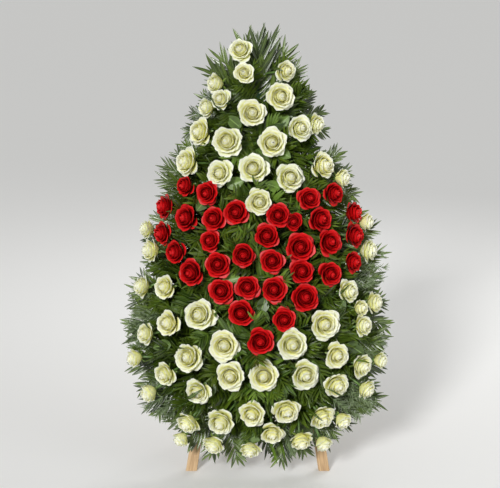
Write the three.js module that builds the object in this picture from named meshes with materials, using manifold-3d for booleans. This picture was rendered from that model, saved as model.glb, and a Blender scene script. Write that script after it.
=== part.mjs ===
// A tear-shaped funeral wreath of white and red roses on its wooden easel.
//
// Millimetres, +Z up, the wreath faces -Y, and the origin is on the ground under the middle of the whole object.
// The wreath is laid out in its own upright plane (x across, z up, the viewer on the -y side) and then leant back
// onto its three legs. A plywood teardrop carries a domed block of wet floral foam. Palm fronds stand out all round
// its rim, and the rose stems are pushed into it in twos, threes and fours that share one hole, with sprays of
// greens between them. The red roses draw a heart among the white ones.
import * as THREE from "three";
import { mergeVertices } from "three/addons/utils/BufferGeometryUtils.js";
import Module from "manifold-3d";

const wasm = await Module();
wasm.setup();

// Driving dimensions.
const LEAN = THREE.MathUtils.degToRad(14); // the board leans back this far
const GROUND_GAP = 30; // from the ground to the wreath plane's own zero
const CLEAR = 0.35; // gap between touching pieces

const HEART_OF_TEAR = 330; // height of the centre of the round lower end
const RIM = { low: 328, high: 105, bulge: 30, top: 1000 }; // reach of the leaf tips round the spine
const FOAM = { low: 218, high: 50, bulge: 20, top: 945 }; // outline of foam and board round the spine
const FOAM_EDGE = 40; // thickness of the foam at its rim
const FOAM_RISE = 50; // how much thicker it is along the spine
const FOAM_ROWS = [1, 0.75, 0.45, 0]; // where the rows of its faces meet, from the rim in
const BOARD_THICKNESS = 9;
const OUTLINE_STEPS = { arc: 6, side: 4, top: 2 };

const BLOOM_EDGE_DEPTH = 88; // how far the blooms at the rim stand before the board
const BLOOM_DOME = 82; // how much further the middle ones stand
const BLOOM_TILT = THREE.MathUtils.degToRad(72); // how far a bloom at the rim turns outwards
const STEM_RADIUS = 2.8;
const STEM_SIDES = 4;
const STUB_RADIUS = 5;
const STUB_IN_FOAM = 24;
const STUB_ABOVE_FOAM = 14;
const STUB_LEAN = 0.35; // how far a stub leans outwards, by its share of the foam's reach
const STUB_HIGHEST_SHARE = 0.76;
const HOLE_TRIES = 16;
const HOLE_STEP = 9; // each later try for a hole steps this much further aside
const GOLDEN_ANGLE = 2.4;

const FROND_BUNCHES = 13;
const FRONDS_PER_BUNCH = 3;
const FROND_OVERHANG = 12; // a frond is this much longer than the way to the rim
const FROND_PAIRS = 4;
const FROND_THICKNESS = 1;
const FROND_BEND = 6;
const FROND_RIB = 2.2; // half the width of a frond's rib
const FROND_DEPTHS = { front: 27, back: 11 }; // neighbouring bunches lie in two layers
const FROND_STUB = { radius: 4, inside: 28, outside: 14, hole: 40 };

const SPRAYS = 8;
const SPRAY_FRONDS = 2;
const SPRAY_BLADES = 5;
const SPRAY_REACH = 135;
const BLADE_WIDTH = 19;
const BLADE_THICKNESS = 3;
const SPRAY_CLEARANCE = 1.4; // room kept round a leaf of a spray
const SPRAY_TRIES = 60;
const SPRAY_STUB_RADIUS = 4;
const SPRAY_BEND = -10;
const SPRAY_SPREAD = 0.42; // least angle between two leaves of a spray
const SPRAY_GRID = { low: 130, x: 11, z: 13, widest: 220, share: 0.8 };

// The blooms, by the bunch that shares a hole in the foam: across, up, and the width of the open head.
const WHITE_BUNCHES = [
  [[-45, 1040, 60], [-35, 980, 50], [72, 988, 55]],
  [[57, 922, 68], [-15, 880, 68]],
  [[-108, 958, 48], [-95, 917, 52], [-130, 898, 45], [-148, 835, 65]],
  [[-78, 810, 76], [-182, 760, 65], [-97, 730, 62]],
  [[106, 844, 62], [150, 856, 50], [165, 752, 68], [215, 722, 45]],
  [[35, 806, 72], [-13, 742, 72], [80, 720, 70], [3, 658, 66]],
  [[276, 612, 45], [284, 540, 60]],
  [[-284, 594, 50], [-274, 540, 60], [-296, 449, 56], [-235, 447, 60]],
  [[229, 437, 60], [258, 395, 40], [296, 408, 52]],
  [[-148, 378, 78], [-226, 356, 66], [-284, 330, 54]],
  [[266, 352, 56], [167, 354, 72], [198, 277, 62]],
  [[-84, 302, 72], [-175, 272, 74], [-69, 225, 72]],
  [[86, 304, 76], [14, 225, 72], [118, 228, 74]],
  [[-234, 228, 60], [-276, 180, 48], [-312, 268, 45]],
  [[262, 250, 60], [310, 262, 40], [275, 190, 52], [198, 202, 64]],
  [[161, 120, 64], [214, 112, 46], [108, 60, 58], [165, 52, 44]],
  [[-150, 186, 62], [-177, 105, 60], [-196, 62, 42]],
  [[72, 138, 68], [36, 80, 56], [-15, 130, 64]],
  [[-94, 108, 68], [-112, 50, 58], [-20, 38, 54]],
];
const RED_BUNCHES = [
  [[-184, 700, 54], [-128, 680, 56]],
  [[-236, 649, 62], [-182, 619, 62], [-242, 582, 56]],
  [[-112, 617, 60], [-55, 633, 62], [-121, 562, 54]],
  [[50, 625, 58], [88, 610, 42], [22, 574, 64]],
  [[129, 668, 56], [192, 682, 56], [158, 617, 62]],
  [[244, 634, 56], [245, 576, 60], [181, 560, 60]],
  [[-208, 534, 60], [-168, 482, 66], [-100, 503, 62]],
  [[-36, 526, 62], [35, 512, 60], [105, 546, 70], [109, 486, 62]],
  [[182, 480, 58], [240, 510, 54]],
  [[-92, 437, 62], [-26, 447, 58], [-42, 382, 66]],
  [[40, 441, 62], [118, 422, 70], [65, 366, 58], [6, 312, 66]],
];

// A bloom's profile, from the neck up: how many points the ring has, then for the petal tips and for the notches
// between them the distance from the axis and the height, in head radii. Each layer is half a petal round from
// the last.
const BLOOM_RINGS = [
  { count: 5, turn: 0, tip: [0.1, 0] },
  { count: 5, turn: 0, tip: [0.62, 0.3] },
  { count: 10, turn: 0, tip: [1, 0.78], notch: [0.87, 0.92] },
  { count: 5, turn: 0.5, tip: [0.6, 0.78] },
  { count: 10, turn: 0.5, tip: [0.66, 1.26], notch: [0.5, 1.34] },
];
const BUD_RINGS = [
  { count: 5, turn: 0, tip: [0.1, 0] },
  { count: 5, turn: 0, tip: [0.8, 0.35] },
  { count: 10, turn: 0, tip: [0.92, 1.1], notch: [0.62, 1] },
];
const BLOOM_HEART = 1.02; // the middle of an open bloom is sunk
const BUD_TIP = 1.42; // a bud's middle stands out
const BUD_WIDTH = 49; // heads narrower than this are still closed
const BLOOM_MIDDLE = 0.78; // the part of a head that lies at its stated place

const FRONT = new THREE.Vector3(0, -1, 0);
const wreath = new THREE.Group();
wreath.rotation.x = -LEAN;
wreath.position.z = GROUND_GAP;

// A repeatable random number from 0 to 1 (a linear congruential generator).
function dice(seed) {
  let state = seed >>> 0;
  return () => {
    state = (Math.imul(state, 1664525) + 1013904223) >>> 0;
    return state / 4294967296;
  };
}

const mix = (a, b, t) => a + (b - a) * t;

// A closed solid from points and triangles. Triangles that merging collapses are left out.
function solidOf(points, triangles) {
  const flat = new Float32Array(triangles.flatMap((t) => t.flatMap((i) => points[i].toArray())));
  const loose = new THREE.BufferGeometry().setAttribute("position", new THREE.BufferAttribute(flat, 3));
  const merged = mergeVertices(loose, 1e-3);
  const kept = [];
  for (let i = 0; i < merged.index.count; i += 3) {
    const [a, b, c] = merged.index.array.slice(i, i + 3);
    if (a !== b && b !== c && a !== c) kept.push(a, b, c);
  }
  const vertProperties = merged.attributes.position.array;
  return new wasm.Manifold(new wasm.Mesh({ numProp: 3, vertProperties, triVerts: new Uint32Array(kept) }));
}

// The same, with the faces turned round if they look inwards.
function outward(points, triangles) {
  const solid = solidOf(points, triangles);
  return solid.volume() > 0 ? solid : solidOf(points, triangles.map(([a, b, c]) => [a, c, b]));
}

// The largest body of a solid, so that scraps left by a cut are dropped.
function mainBody(solid) {
  return solid.decompose().reduce((best, body) => (body.volume() > best.volume() ? body : best));
}

// A named mesh in the wreath's group.
function addNode(name, solid, material) {
  const made = solid.getMesh();
  const positions = new Float32Array(made.numVert * 3);
  for (let i = 0; i < made.numVert; i++) {
    positions.set(made.vertProperties.subarray(i * made.numProp, i * made.numProp + 3), i * 3);
  }
  const geometry = new THREE.BufferGeometry();
  geometry.setAttribute("position", new THREE.BufferAttribute(positions, 3));
  geometry.setIndex(new THREE.BufferAttribute(made.triVerts, 1));
  geometry.computeVertexNormals();
  const mesh = new THREE.Mesh(geometry, material);
  mesh.name = name;
  wreath.add(mesh);
}

// Triangles between two rings whose counts are equal or double, wound to face away from the axis. From the step
// given by turned on, the squares between equal rings are split along their other diagonal.
function stitch(lower, upper, turned = Infinity) {
  const steps = Math.max(lower.length, upper.length);
  const at = (ring, k) => ring[Math.floor((k * ring.length) / steps) % ring.length];
  const triangles = [];
  for (let k = 0; k < steps; k++) {
    const [l0, l1, u0, u1] = [at(lower, k), at(lower, k + 1), at(upper, k), at(upper, k + 1)];
    if (k >= turned) triangles.push([l0, l1, u1], [l0, u1, u0]);
    else {
      if (l0 !== l1) triangles.push([l0, l1, u0]);
      if (u0 !== u1) triangles.push([l1, u1, u0]);
    }
  }
  return triangles;
}

// Two directions square to an axis and to each other.
function squareTo(axis) {
  const u = new THREE.Vector3(0, 0, 1).addScaledVector(axis, -axis.z);
  if (u.length() < 0.1) u.set(1, 0, 0);
  u.normalize();
  return [u, new THREE.Vector3().crossVectors(axis, u)];
}

// A straight prism of a few sides from one point to another.
function prism(from, to, radius, sides) {
  const [u, v] = squareTo(to.clone().sub(from).normalize());
  const points = [];
  for (const end of [from, to]) {
    for (let k = 0; k < sides; k++) {
      const angle = (2 * Math.PI * k) / sides;
      points.push(
        end.clone().addScaledVector(u, radius * Math.cos(angle)).addScaledVector(v, radius * Math.sin(angle)),
      );
    }
  }
  const low = [...Array(sides).keys()];
  const high = low.map((k) => k + sides);
  const triangles = stitch(low, high);
  for (let k = 1; k < sides - 1; k++) triangles.push([0, k + 1, k], [sides, sides + k, sides + k + 1]);
  return solidOf(points, triangles);
}

// The teardrop: its radius round the upright spine, at a height along it.
function reach(tear, z) {
  const t = THREE.MathUtils.clamp((z - HEART_OF_TEAR) / (tear.top - HEART_OF_TEAR), 0, 1);
  return mix(tear.low, tear.high, t) + tear.bulge * Math.sin(Math.PI * t);
}

// Where a place lies in a teardrop: the nearest spine height, the way out from it, and the share of the reach.
function placeIn(tear, x, z) {
  const spine = THREE.MathUtils.clamp(z, HEART_OF_TEAR, tear.top);
  const distance = Math.hypot(x, z - spine);
  const out = distance < 1 ? new THREE.Vector3(0, 0, 0) : new THREE.Vector3(x, 0, z - spine).divideScalar(distance);
  return { spine, out, share: distance / reach(tear, spine), distance };
}

// Depth of the foam's front at a place: a dome, straight from one row of its faces to the next.
function foamDepth(share) {
  const dome = (s) => FOAM_EDGE + FOAM_RISE * (1 - s * s);
  const inside = THREE.MathUtils.clamp(share, 0, 1);
  const row = Math.min(FOAM_ROWS.length - 2, FOAM_ROWS.findLastIndex((s) => s >= inside));
  const [outer, inner] = [FOAM_ROWS[row], FOAM_ROWS[row + 1]];
  return mix(dome(outer), dome(inner), (outer - inside) / (outer - inner));
}

// Outline points of the foam's teardrop: the lower arc, one side, the top arc, the other side.
function tearOutline() {
  const half = [];
  for (let k = 0; k <= OUTLINE_STEPS.arc; k++) {
    const angle = (-Math.PI / 2) * (1 - k / OUTLINE_STEPS.arc);
    half.push({ spine: HEART_OF_TEAR, cos: Math.cos(angle), sin: Math.sin(angle) });
  }
  for (let k = 1; k <= OUTLINE_STEPS.side; k++) {
    half.push({ spine: mix(HEART_OF_TEAR, FOAM.top, k / OUTLINE_STEPS.side), cos: 1, sin: 0 });
  }
  for (let k = 1; k <= OUTLINE_STEPS.top; k++) {
    const angle = (Math.PI / 2) * (k / OUTLINE_STEPS.top);
    half.push({ spine: FOAM.top, cos: Math.cos(angle), sin: Math.sin(angle) });
  }
  const mirrored = half.slice(1, -1).reverse().map((p) => ({ ...p, cos: -p.cos }));
  return [...half, ...mirrored];
}

// A point of the foam's teardrop: an outline entry, the share of the reach, and the depth.
function tearPoint(entry, { share, depth }) {
  const radius = reach(FOAM, entry.spine) * share;
  return new THREE.Vector3(radius * entry.cos, -depth, entry.spine + radius * entry.sin);
}

const outline = tearOutline();

// A closed body between a flat back and the rows given by depth over the outline.
function tearBody(rows) {
  const points = rows.flatMap((row) => outline.map((entry) => tearPoint(entry, row)));
  const ring = (r) => outline.map((_, k) => r * outline.length + k);
  const triangles = [];
  for (let r = 0; r < rows.length - 1; r++) triangles.push(...stitch(ring(r), ring(r + 1), outline.length / 2));
  return solidOf(points, triangles);
}

function foamBlock() {
  const front = FOAM_ROWS.map((share) => ({ share, depth: foamDepth(share) }));
  return tearBody([{ share: 0, depth: CLEAR }, { share: 1, depth: CLEAR }, ...front]);
}

function plywoodBoard() {
  return tearBody([
    { share: 0, depth: -BOARD_THICKNESS },
    { share: 1, depth: -BOARD_THICKNESS },
    { share: 1, depth: 0 },
    { share: 0, depth: 0 },
  ]);
}

// Where a bloom's middle lies and which way it looks. Blooms near the rim turn outwards.
function bloomPose([x, z], random) {
  const { out, share } = placeIn(RIM, x, z);
  const inside = Math.min(1, share);
  const centre = new THREE.Vector3(x, -(BLOOM_EDGE_DEPTH + BLOOM_DOME * Math.sqrt(1 - inside * inside)), z);
  const tilt = BLOOM_TILT * inside * inside;
  const axis = FRONT.clone().multiplyScalar(Math.cos(tilt)).addScaledVector(out, Math.sin(tilt));
  axis.x += mix(-0.12, 0.12, random());
  axis.z += mix(-0.12, 0.12, random());
  return { centre, axis: axis.normalize() };
}

// One bloom and its stem down to a foot, as one closed surface.
function bloom({ centre, axis }, radius, turn, foot) {
  const base = centre.clone().addScaledVector(axis, -radius * BLOOM_MIDDLE);
  const [u, v] = squareTo(axis);
  const stem = base.clone().sub(foot).normalize();
  const footU = u.clone().addScaledVector(stem, -u.dot(stem)).normalize();
  const footV = new THREE.Vector3().crossVectors(stem, footU);
  const points = [];
  const rings = [];
  const footRing = [];
  for (let k = 0; k < STEM_SIDES; k++) {
    const angle = (2 * Math.PI * k) / STEM_SIDES + turn;
    footRing.push(points.length);
    points.push(
      foot.clone()
        .addScaledVector(footU, STEM_RADIUS * Math.cos(angle))
        .addScaledVector(footV, STEM_RADIUS * Math.sin(angle)),
    );
  }
  rings.push(footRing);
  const closed = radius < BUD_WIDTH / 2;
  for (const row of closed ? BUD_RINGS : BLOOM_RINGS) {
    const ring = [];
    for (let k = 0; k < row.count; k++) {
      const petals = row.count === 10 ? k / 2 : k;
      const angle = (2 * Math.PI * (petals + row.turn)) / 5 + turn;
      const [r, h] = row.notch && k % 2 ? row.notch : row.tip;
      ring.push(points.length);
      points.push(
        base.clone()
          .addScaledVector(axis, h * radius)
          .addScaledVector(u, r * radius * Math.cos(angle))
          .addScaledVector(v, r * radius * Math.sin(angle)),
      );
    }
    rings.push(ring);
  }
  const triangles = [];
  for (let k = 1; k < STEM_SIDES - 1; k++) triangles.push([footRing[0], footRing[k + 1], footRing[k]]);
  for (let r = 0; r < rings.length - 1; r++) triangles.push(...stitch(rings[r], rings[r + 1]));
  const last = rings.at(-1);
  const tip = points.push(base.clone().addScaledVector(axis, (closed ? BUD_TIP : BLOOM_HEART) * radius)) - 1;
  last.forEach((index, k) => triangles.push([index, last[(k + 1) % last.length], tip]));
  return solidOf(points, triangles);
}

// Where a bunch's stems enter the foam: under its middle, drawn in from the foam's rim. Later tries step aside.
function foamEntry(bunch, attempt) {
  const aside = HOLE_STEP * attempt;
  const x = bunch.reduce((sum, b) => sum + b[0], 0) / bunch.length + aside * Math.cos(GOLDEN_ANGLE * attempt);
  const z = bunch.reduce((sum, b) => sum + b[1], 0) / bunch.length + aside * Math.sin(GOLDEN_ANGLE * attempt);
  const place = placeIn(FOAM, x, z);
  const share = Math.min(place.share, STUB_HIGHEST_SHARE);
  const radius = share * reach(FOAM, place.spine);
  const point = new THREE.Vector3(place.out.x * radius, -foamDepth(share), place.spine + place.out.z * radius);
  const way = FRONT.clone().addScaledVector(place.out, STUB_LEAN * share).normalize();
  return { point, way };
}

// A bunch of blooms whose stems join at the stub that is pushed into the foam.
function bloomBunch(bunch, attempt, random) {
  const { point, way } = foamEntry(bunch, attempt);
  const foot = point.clone().addScaledVector(way, STUB_ABOVE_FOAM - STUB_RADIUS);
  const inner = point.clone().addScaledVector(way, -STUB_IN_FOAM);
  const outer = point.clone().addScaledVector(way, STUB_ABOVE_FOAM);
  const hole = prism(
    point.clone().addScaledVector(way, -STUB_IN_FOAM - CLEAR),
    point.clone().addScaledVector(way, 2 * STUB_ABOVE_FOAM),
    STUB_RADIUS + 2 * CLEAR,
    STEM_SIDES,
  );
  let solid = prism(inner, outer, STUB_RADIUS, STEM_SIDES);
  for (const place of bunch) {
    solid = solid.add(bloom(bloomPose(place, random), place[2] / 2, 2 * Math.PI * random(), foot));
  }
  return { solid, hole, point };
}

// A feathered frond: one thin arched plate whose outline is cut to the rib between its leaflets. It starts along
// out, spreads along across, and bends away from the direction over.
function frond(root, out, across, over, length, bend, thickness) {
  const rib = FROND_RIB;
  const spacing = (length * 0.62) / FROND_PAIRS;
  const place = (along, side, lift) =>
    root.clone()
      .addScaledVector(out, along)
      .addScaledVector(across, side)
      .addScaledVector(over, lift - bend * (along / length) ** 2);
  const rims = [[0, rib]];
  for (let k = 0; k < FROND_PAIRS; k++) {
    const start = length * 0.16 + k * spacing;
    const leaflet = length * mix(0.5, 0.34, k / (FROND_PAIRS - 1));
    rims.push([start, rib], [start + leaflet * 0.75, rib + leaflet * mix(0.68, 0.45, k / FROND_PAIRS)]);
  }
  rims.push([length * 0.8, rib * 0.8]);
  const sides = rims.length;
  const points = [];
  for (const lift of [thickness / 2, -thickness / 2]) {
    for (const side of [-1, 1]) for (const [along, off] of rims) points.push(place(along, side * off, lift));
    points.push(place(length, 0, lift));
  }
  const layer = 2 * sides + 1;
  const left = (k) => k;
  const right = (k) => sides + k;
  const end = 2 * sides;
  const face = [];
  let [l, r] = [0, 0];
  for (let k = 0; k < FROND_PAIRS; k++) {
    const notch = 1 + 2 * k;
    face.push([left(l), left(notch), right(notch)], [left(l), right(notch), right(r)]);
    const next = notch + 2;
    face.push([left(notch), left(notch + 1), left(next)], [right(notch), right(next), right(notch + 1)]);
    [l, r] = [notch, notch];
  }
  const last = sides - 1;
  face.push([left(l), left(last), right(last)], [left(l), right(last), right(r)], [left(last), end, right(last)]);
  const triangles = [...face, ...face.map(([a, b, c]) => [a + layer, c + layer, b + layer])];
  const loop = [];
  for (let k = 0; k < sides; k++) loop.push(left(k));
  loop.push(end);
  for (let k = sides - 1; k >= 0; k--) loop.push(right(k));
  loop.forEach((a, k) => {
    const b = loop[(k + 1) % loop.length];
    triangles.push([b, a, b + layer], [a, a + layer, b + layer]);
  });
  return outward(points, triangles);
}

// The foam's outline by length: a point of it and the way out there.
function rimStation(share) {
  const samples = 720;
  const at = (k) => {
    const place = (k / samples) * 4;
    const mirror = place > 2 ? -1 : 1;
    const t = place > 2 ? 4 - place : place;
    let spine = FOAM.top;
    let angle = 0;
    if (t < 1) [spine, angle] = [HEART_OF_TEAR, (-Math.PI / 2) * (1 - t)];
    else if (t < 2) {
      const rise = (t - 1) * 1.12;
      if (rise < 1) spine = mix(HEART_OF_TEAR, FOAM.top, rise);
      else angle = (Math.PI / 2) * ((rise - 1) / 0.12);
    }
    const radius = reach(FOAM, spine);
    return new THREE.Vector3(mirror * radius * Math.cos(angle), 0, spine + radius * Math.sin(angle));
  };
  const line = [...Array(samples + 1).keys()].map(at);
  const lengths = [0];
  for (let k = 1; k <= samples; k++) lengths.push(lengths[k - 1] + line[k].distanceTo(line[k - 1]));
  const goal = share * lengths[samples];
  const index = Math.min(samples - 1, Math.max(1, lengths.findIndex((d) => d >= goal)));
  const along = line[index + 1].clone().sub(line[index - 1]).normalize();
  return { point: line[index], out: new THREE.Vector3(along.z, 0, -along.x) };
}

// A bunch of palm fronds pushed sideways into the foam's rim. Neighbouring bunches lie in two layers.
function frondBunch(index, random) {
  const { point, out } = rimStation((index + 0.5) / FROND_BUNCHES);
  const front = index % 2 === 0;
  point.y = -(front ? FROND_DEPTHS.front : FROND_DEPTHS.back);
  const across = new THREE.Vector3().crossVectors(FRONT, out);
  const along = (distance) => point.clone().addScaledVector(out, distance);
  const { radius, inside, outside, hole: holeEnd } = FROND_STUB;
  let solid = prism(along(-inside), along(outside), radius, STEM_SIDES);
  const hole = prism(along(-inside - CLEAR), along(holeEnd), radius + 2 * CLEAR, STEM_SIDES);
  const room = reach(RIM, point.z) - reach(FOAM, point.z) + FROND_OVERHANG;
  for (let k = 0; k < FRONDS_PER_BUNCH; k++) {
    const fan = (k - 1) * mix(0.5, 0.62, random());
    const way = out.clone().applyAxisAngle(FRONT, fan);
    const side = across.clone().applyAxisAngle(FRONT, fan);
    const length = room * mix(0.95, 1.08, random()) * (k === 1 ? 1 : 1.08);
    const slope = (k === 1 ? 0.25 : 1) * (front ? 0.13 : -0.05);
    const lifted = way.clone().addScaledVector(FRONT, slope).normalize();
    const root = point.clone().addScaledVector(way, 8);
    solid = solid.add(frond(root, lifted, side, FRONT, length, FROND_BEND, FROND_THICKNESS));
  }
  return { solid, hole };
}

// A pointed leaf with a ridge on both faces.
function blade(root, way, side, length, width, thickness) {
  const face = new THREE.Vector3().crossVectors(way, side);
  const middle = root.clone().addScaledVector(way, length * 0.45);
  const points = [
    root.clone(),
    middle.clone().addScaledVector(side, -width / 2),
    middle.clone().addScaledVector(face, thickness / 2),
    middle.clone().addScaledVector(side, width / 2),
    middle.clone().addScaledVector(face, -thickness / 2),
    root.clone().addScaledVector(way, length),
  ];
  const triangles = [];
  for (let k = 0; k < 4; k++) {
    const [a, b] = [1 + k, 1 + ((k + 1) % 4)];
    triangles.push([0, a, b], [5, b, a]);
  }
  return outward(points, triangles);
}

// True if a solid shares space with any of the others.
function meets(solid, others) {
  return others.some((other) => solid.intersect(other).volume() > 1e-6);
}

// The face of a leaf that looks most towards the viewer.
function faceOf(dir, side) {
  const face = new THREE.Vector3().crossVectors(dir, side).normalize();
  return face.dot(FRONT) < 0 ? face.negate() : face;
}

// Places for the sprays: the spots of a fine grid over the foam that lie farthest from every hole so far.
function sprayPlaces(taken) {
  const grid = [];
  for (let z = SPRAY_GRID.low; z < FOAM.top; z += SPRAY_GRID.z) {
    for (let x = -SPRAY_GRID.widest; x <= SPRAY_GRID.widest; x += SPRAY_GRID.x) {
      const { out, share } = placeIn(FOAM, x, z);
      if (share < SPRAY_GRID.share) grid.push({ point: new THREE.Vector3(x, -foamDepth(share), z), out, share });
    }
  }
  const used = [...taken];
  const places = [];
  for (let k = 0; k < SPRAYS; k++) {
    const room = (spot) => Math.min(...used.map((p) => p.distanceTo(spot.point)));
    const best = grid.reduce((a, b) => (room(b) > room(a) ? b : a));
    places.push(best);
    used.push(best.point);
  }
  return places;
}

// A spray of greens between the blooms: fronds and long blades from one stub, each turned until it is clear of
// what already stands there.
function spray({ point, out, share }, obstacles, random) {
  const way = FRONT.clone().addScaledVector(out, STUB_LEAN * share).normalize();
  const hub = point.clone().addScaledVector(way, STUB_ABOVE_FOAM - 6);
  const inner = point.clone().addScaledVector(way, -STUB_IN_FOAM);
  const outer = point.clone().addScaledVector(way, STUB_ABOVE_FOAM);
  let solid = prism(inner, outer, SPRAY_STUB_RADIUS, STEM_SIDES);
  const hole = prism(
    point.clone().addScaledVector(way, -STUB_IN_FOAM - CLEAR),
    point.clone().addScaledVector(way, 2 * STUB_ABOVE_FOAM),
    SPRAY_STUB_RADIUS + 2 * CLEAR,
    STEM_SIDES,
  );
  const headings = [];
  const grow = (wanted, leaf) => {
    for (let attempt = 0, made = 0; attempt < SPRAY_TRIES && made < wanted; attempt++) {
      const heading = 2 * Math.PI * random();
      const turnTo = (other) => Math.abs(Math.atan2(Math.sin(other - heading), Math.cos(other - heading)));
      if (headings.some((other) => turnTo(other) < SPRAY_SPREAD)) continue;
      const flat = new THREE.Vector3(Math.cos(heading), 0, Math.sin(heading));
      const dir = FRONT.clone().addScaledVector(flat, mix(0.7, 1.9, random())).normalize();
      const side = new THREE.Vector3().crossVectors(dir, FRONT).normalize();
      const grown = leaf(dir, side);
      if (meets(grown.roomy, obstacles)) continue;
      solid = solid.add(grown.solid);
      headings.push(heading);
      made++;
    }
  };
  grow(SPRAY_FRONDS, (dir, side) => {
    const length = SPRAY_REACH * mix(0.8, 1, random());
    const over = faceOf(dir, side);
    const make = (extra) => frond(hub, dir, side, over, length + extra, SPRAY_BEND, FROND_THICKNESS + 2 * extra);
    return { solid: make(0), roomy: make(SPRAY_CLEARANCE) };
  });
  grow(SPRAY_BLADES, (dir, side) => {
    const length = SPRAY_REACH * mix(0.65, 1, random());
    const make = (extra) => blade(hub, dir, side, length + extra, BLADE_WIDTH + extra, BLADE_THICKNESS + extra);
    return { solid: make(0), roomy: make(2 * SPRAY_CLEARANCE) };
  });
  return { solid, hole };
}

// A lath along a direction through a centre, its two ends cut by planes given as a point and a normal.
function lath(centre, way, [sideA, halfA], [sideB, halfB], startPlane, endPlane) {
  const cut = (corner, [through, normal]) => {
    const travel = through.clone().sub(corner).dot(normal) / way.dot(normal);
    return corner.clone().addScaledVector(way, travel);
  };
  const corners = [[-1, -1], [1, -1], [1, 1], [-1, 1]].map(([a, b]) =>
    centre.clone().addScaledVector(sideA, a * halfA).addScaledVector(sideB, b * halfB),
  );
  const points = [...corners.map((c) => cut(c, startPlane)), ...corners.map((c) => cut(c, endPlane))];
  const triangles = stitch([0, 1, 2, 3], [4, 5, 6, 7]);
  triangles.push([0, 2, 1], [0, 3, 2], [4, 5, 6], [4, 6, 7]);
  return outward(points, triangles);
}

// The easel: two front legs on the back of the board, a rail and a block across them, a rear leg and its brace.
const X = new THREE.Vector3(1, 0, 0);
const Y = new THREE.Vector3(0, 1, 0);
const Z = new THREE.Vector3(0, 0, 1);
const GROUND_UP = new THREE.Vector3(0, -Math.sin(LEAN), Math.cos(LEAN)); // upwards from the ground, in the plane
const GROUND = [GROUND_UP.clone().multiplyScalar(-GROUND_GAP), GROUND_UP];
const BACKWARD = new THREE.Vector3(0, Math.cos(LEAN), Math.sin(LEAN)); // level and away from the viewer
const LEG = { width: 28, thickness: 20, top: 862, topSpread: 30, footSpread: 172 };
const RAIL = { height: 30, thickness: 14, at: 150, half: 176 };
const BLOCK = { width: 92, height: 76, thickness: 24, at: 826 };
const REAR = { width: 30, thickness: 22, foot: 545 };
const BRACE = { width: 24, height: 24 };

function easel() {
  const legY = BOARD_THICKNESS + CLEAR + LEG.thickness / 2;
  const legPlane = (z) => [new THREE.Vector3(0, 0, z), Z];
  const legs = [-1, 1].map((hand) => {
    const top = new THREE.Vector3(hand * LEG.topSpread, legY, LEG.top);
    const foot = new THREE.Vector3(hand * LEG.footSpread, legY, -GROUND_GAP);
    const way = top.clone().sub(foot).normalize();
    const side = new THREE.Vector3().crossVectors(way, Y).normalize();
    return lath(foot, way, [side, LEG.width / 2], [Y, LEG.thickness / 2], GROUND, legPlane(LEG.top));
  });
  const backOfLegs = legY + LEG.thickness / 2 + CLEAR;
  const across = (y0, thickness, height, z, half) =>
    lath(
      new THREE.Vector3(0, y0 + thickness / 2, z),
      X,
      [Y, thickness / 2],
      [Z, height / 2],
      [new THREE.Vector3(-half, 0, 0), X],
      [new THREE.Vector3(half, 0, 0), X],
    );
  const rail = across(backOfLegs, RAIL.thickness, RAIL.height, RAIL.at, RAIL.half);
  const block = across(backOfLegs, BLOCK.thickness, BLOCK.height, BLOCK.at, BLOCK.width / 2);
  const backOfBlock = backOfLegs + BLOCK.thickness + CLEAR;
  const rearTop = new THREE.Vector3(0, backOfBlock, BLOCK.at);
  const rearFoot = GROUND[0].clone().addScaledVector(BACKWARD, REAR.foot);
  const rearWay = rearTop.clone().sub(rearFoot).normalize();
  const rearSide = new THREE.Vector3().crossVectors(rearWay, X).normalize();
  const rear = lath(
    rearFoot,
    rearWay,
    [X, REAR.width / 2],
    [rearSide, REAR.thickness / 2],
    GROUND,
    [rearTop, Y],
  );
  const backOfRail = backOfLegs + RAIL.thickness + CLEAR;
  const frontward = rearSide.y < 0 ? rearSide : rearSide.clone().negate();
  const rearFront = rearFoot.clone().addScaledVector(frontward, REAR.thickness / 2 + CLEAR);
  const brace = lath(
    new THREE.Vector3(0, backOfRail, RAIL.at),
    BACKWARD,
    [X, BRACE.width / 2],
    [GROUND_UP, BRACE.height / 2],
    [new THREE.Vector3(0, backOfRail, 0), Y],
    [rearFront, rearSide],
  );
  return {
    leg_front_left: legs[0],
    leg_front_right: legs[1],
    rail_cross: rail,
    block_top: block,
    leg_rear: rear,
    brace_rear: brace,
  };
}

// Colours from the photograph.
const paint = (color, roughness) => new THREE.MeshStandardMaterial({ color, roughness, metalness: 0 });
const WHITE_PETAL = paint(0xf1eed6, 0.6);
const RED_PETAL = paint(0xc3090d, 0.55);
const PALM_GREEN = paint(0x2f5a1e, 0.45);
const SPRAY_GREEN = paint(0x274a1a, 0.5);
const FOAM_GREEN = paint(0x3c5a33, 0.95);
const PLYWOOD = paint(0xb08a5b, 0.8);
const STAINED_WOOD = paint(0x2d3a22, 0.7);

const holes = [];
const entries = [];
const standing = [];
const two = (n) => String(n + 1).padStart(2, "0");
for (const [name, bunches, material, seed] of [
  ["roses_white_", WHITE_BUNCHES, WHITE_PETAL, 11],
  ["roses_red_", RED_BUNCHES, RED_PETAL, 23],
]) {
  bunches.forEach((bunch, index) => {
    const tries = [...Array(HOLE_TRIES).keys()].map((k) => () => bloomBunch(bunch, k, dice(seed * 1000 + index)));
    const clear = tries.find((make) => !meets(make().solid, standing)) ?? tries[0];
    const { solid, hole, point } = clear();
    addNode(name + two(index), solid, material);
    standing.push(solid);
    holes.push(hole);
    entries.push(point);
  });
}

for (let index = 0; index < FROND_BUNCHES; index++) {
  const { solid, hole } = frondBunch(index, dice(500 + index));
  addNode("palm_fronds_" + two(index), solid, PALM_GREEN);
  standing.push(solid);
  holes.push(hole);
}

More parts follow.
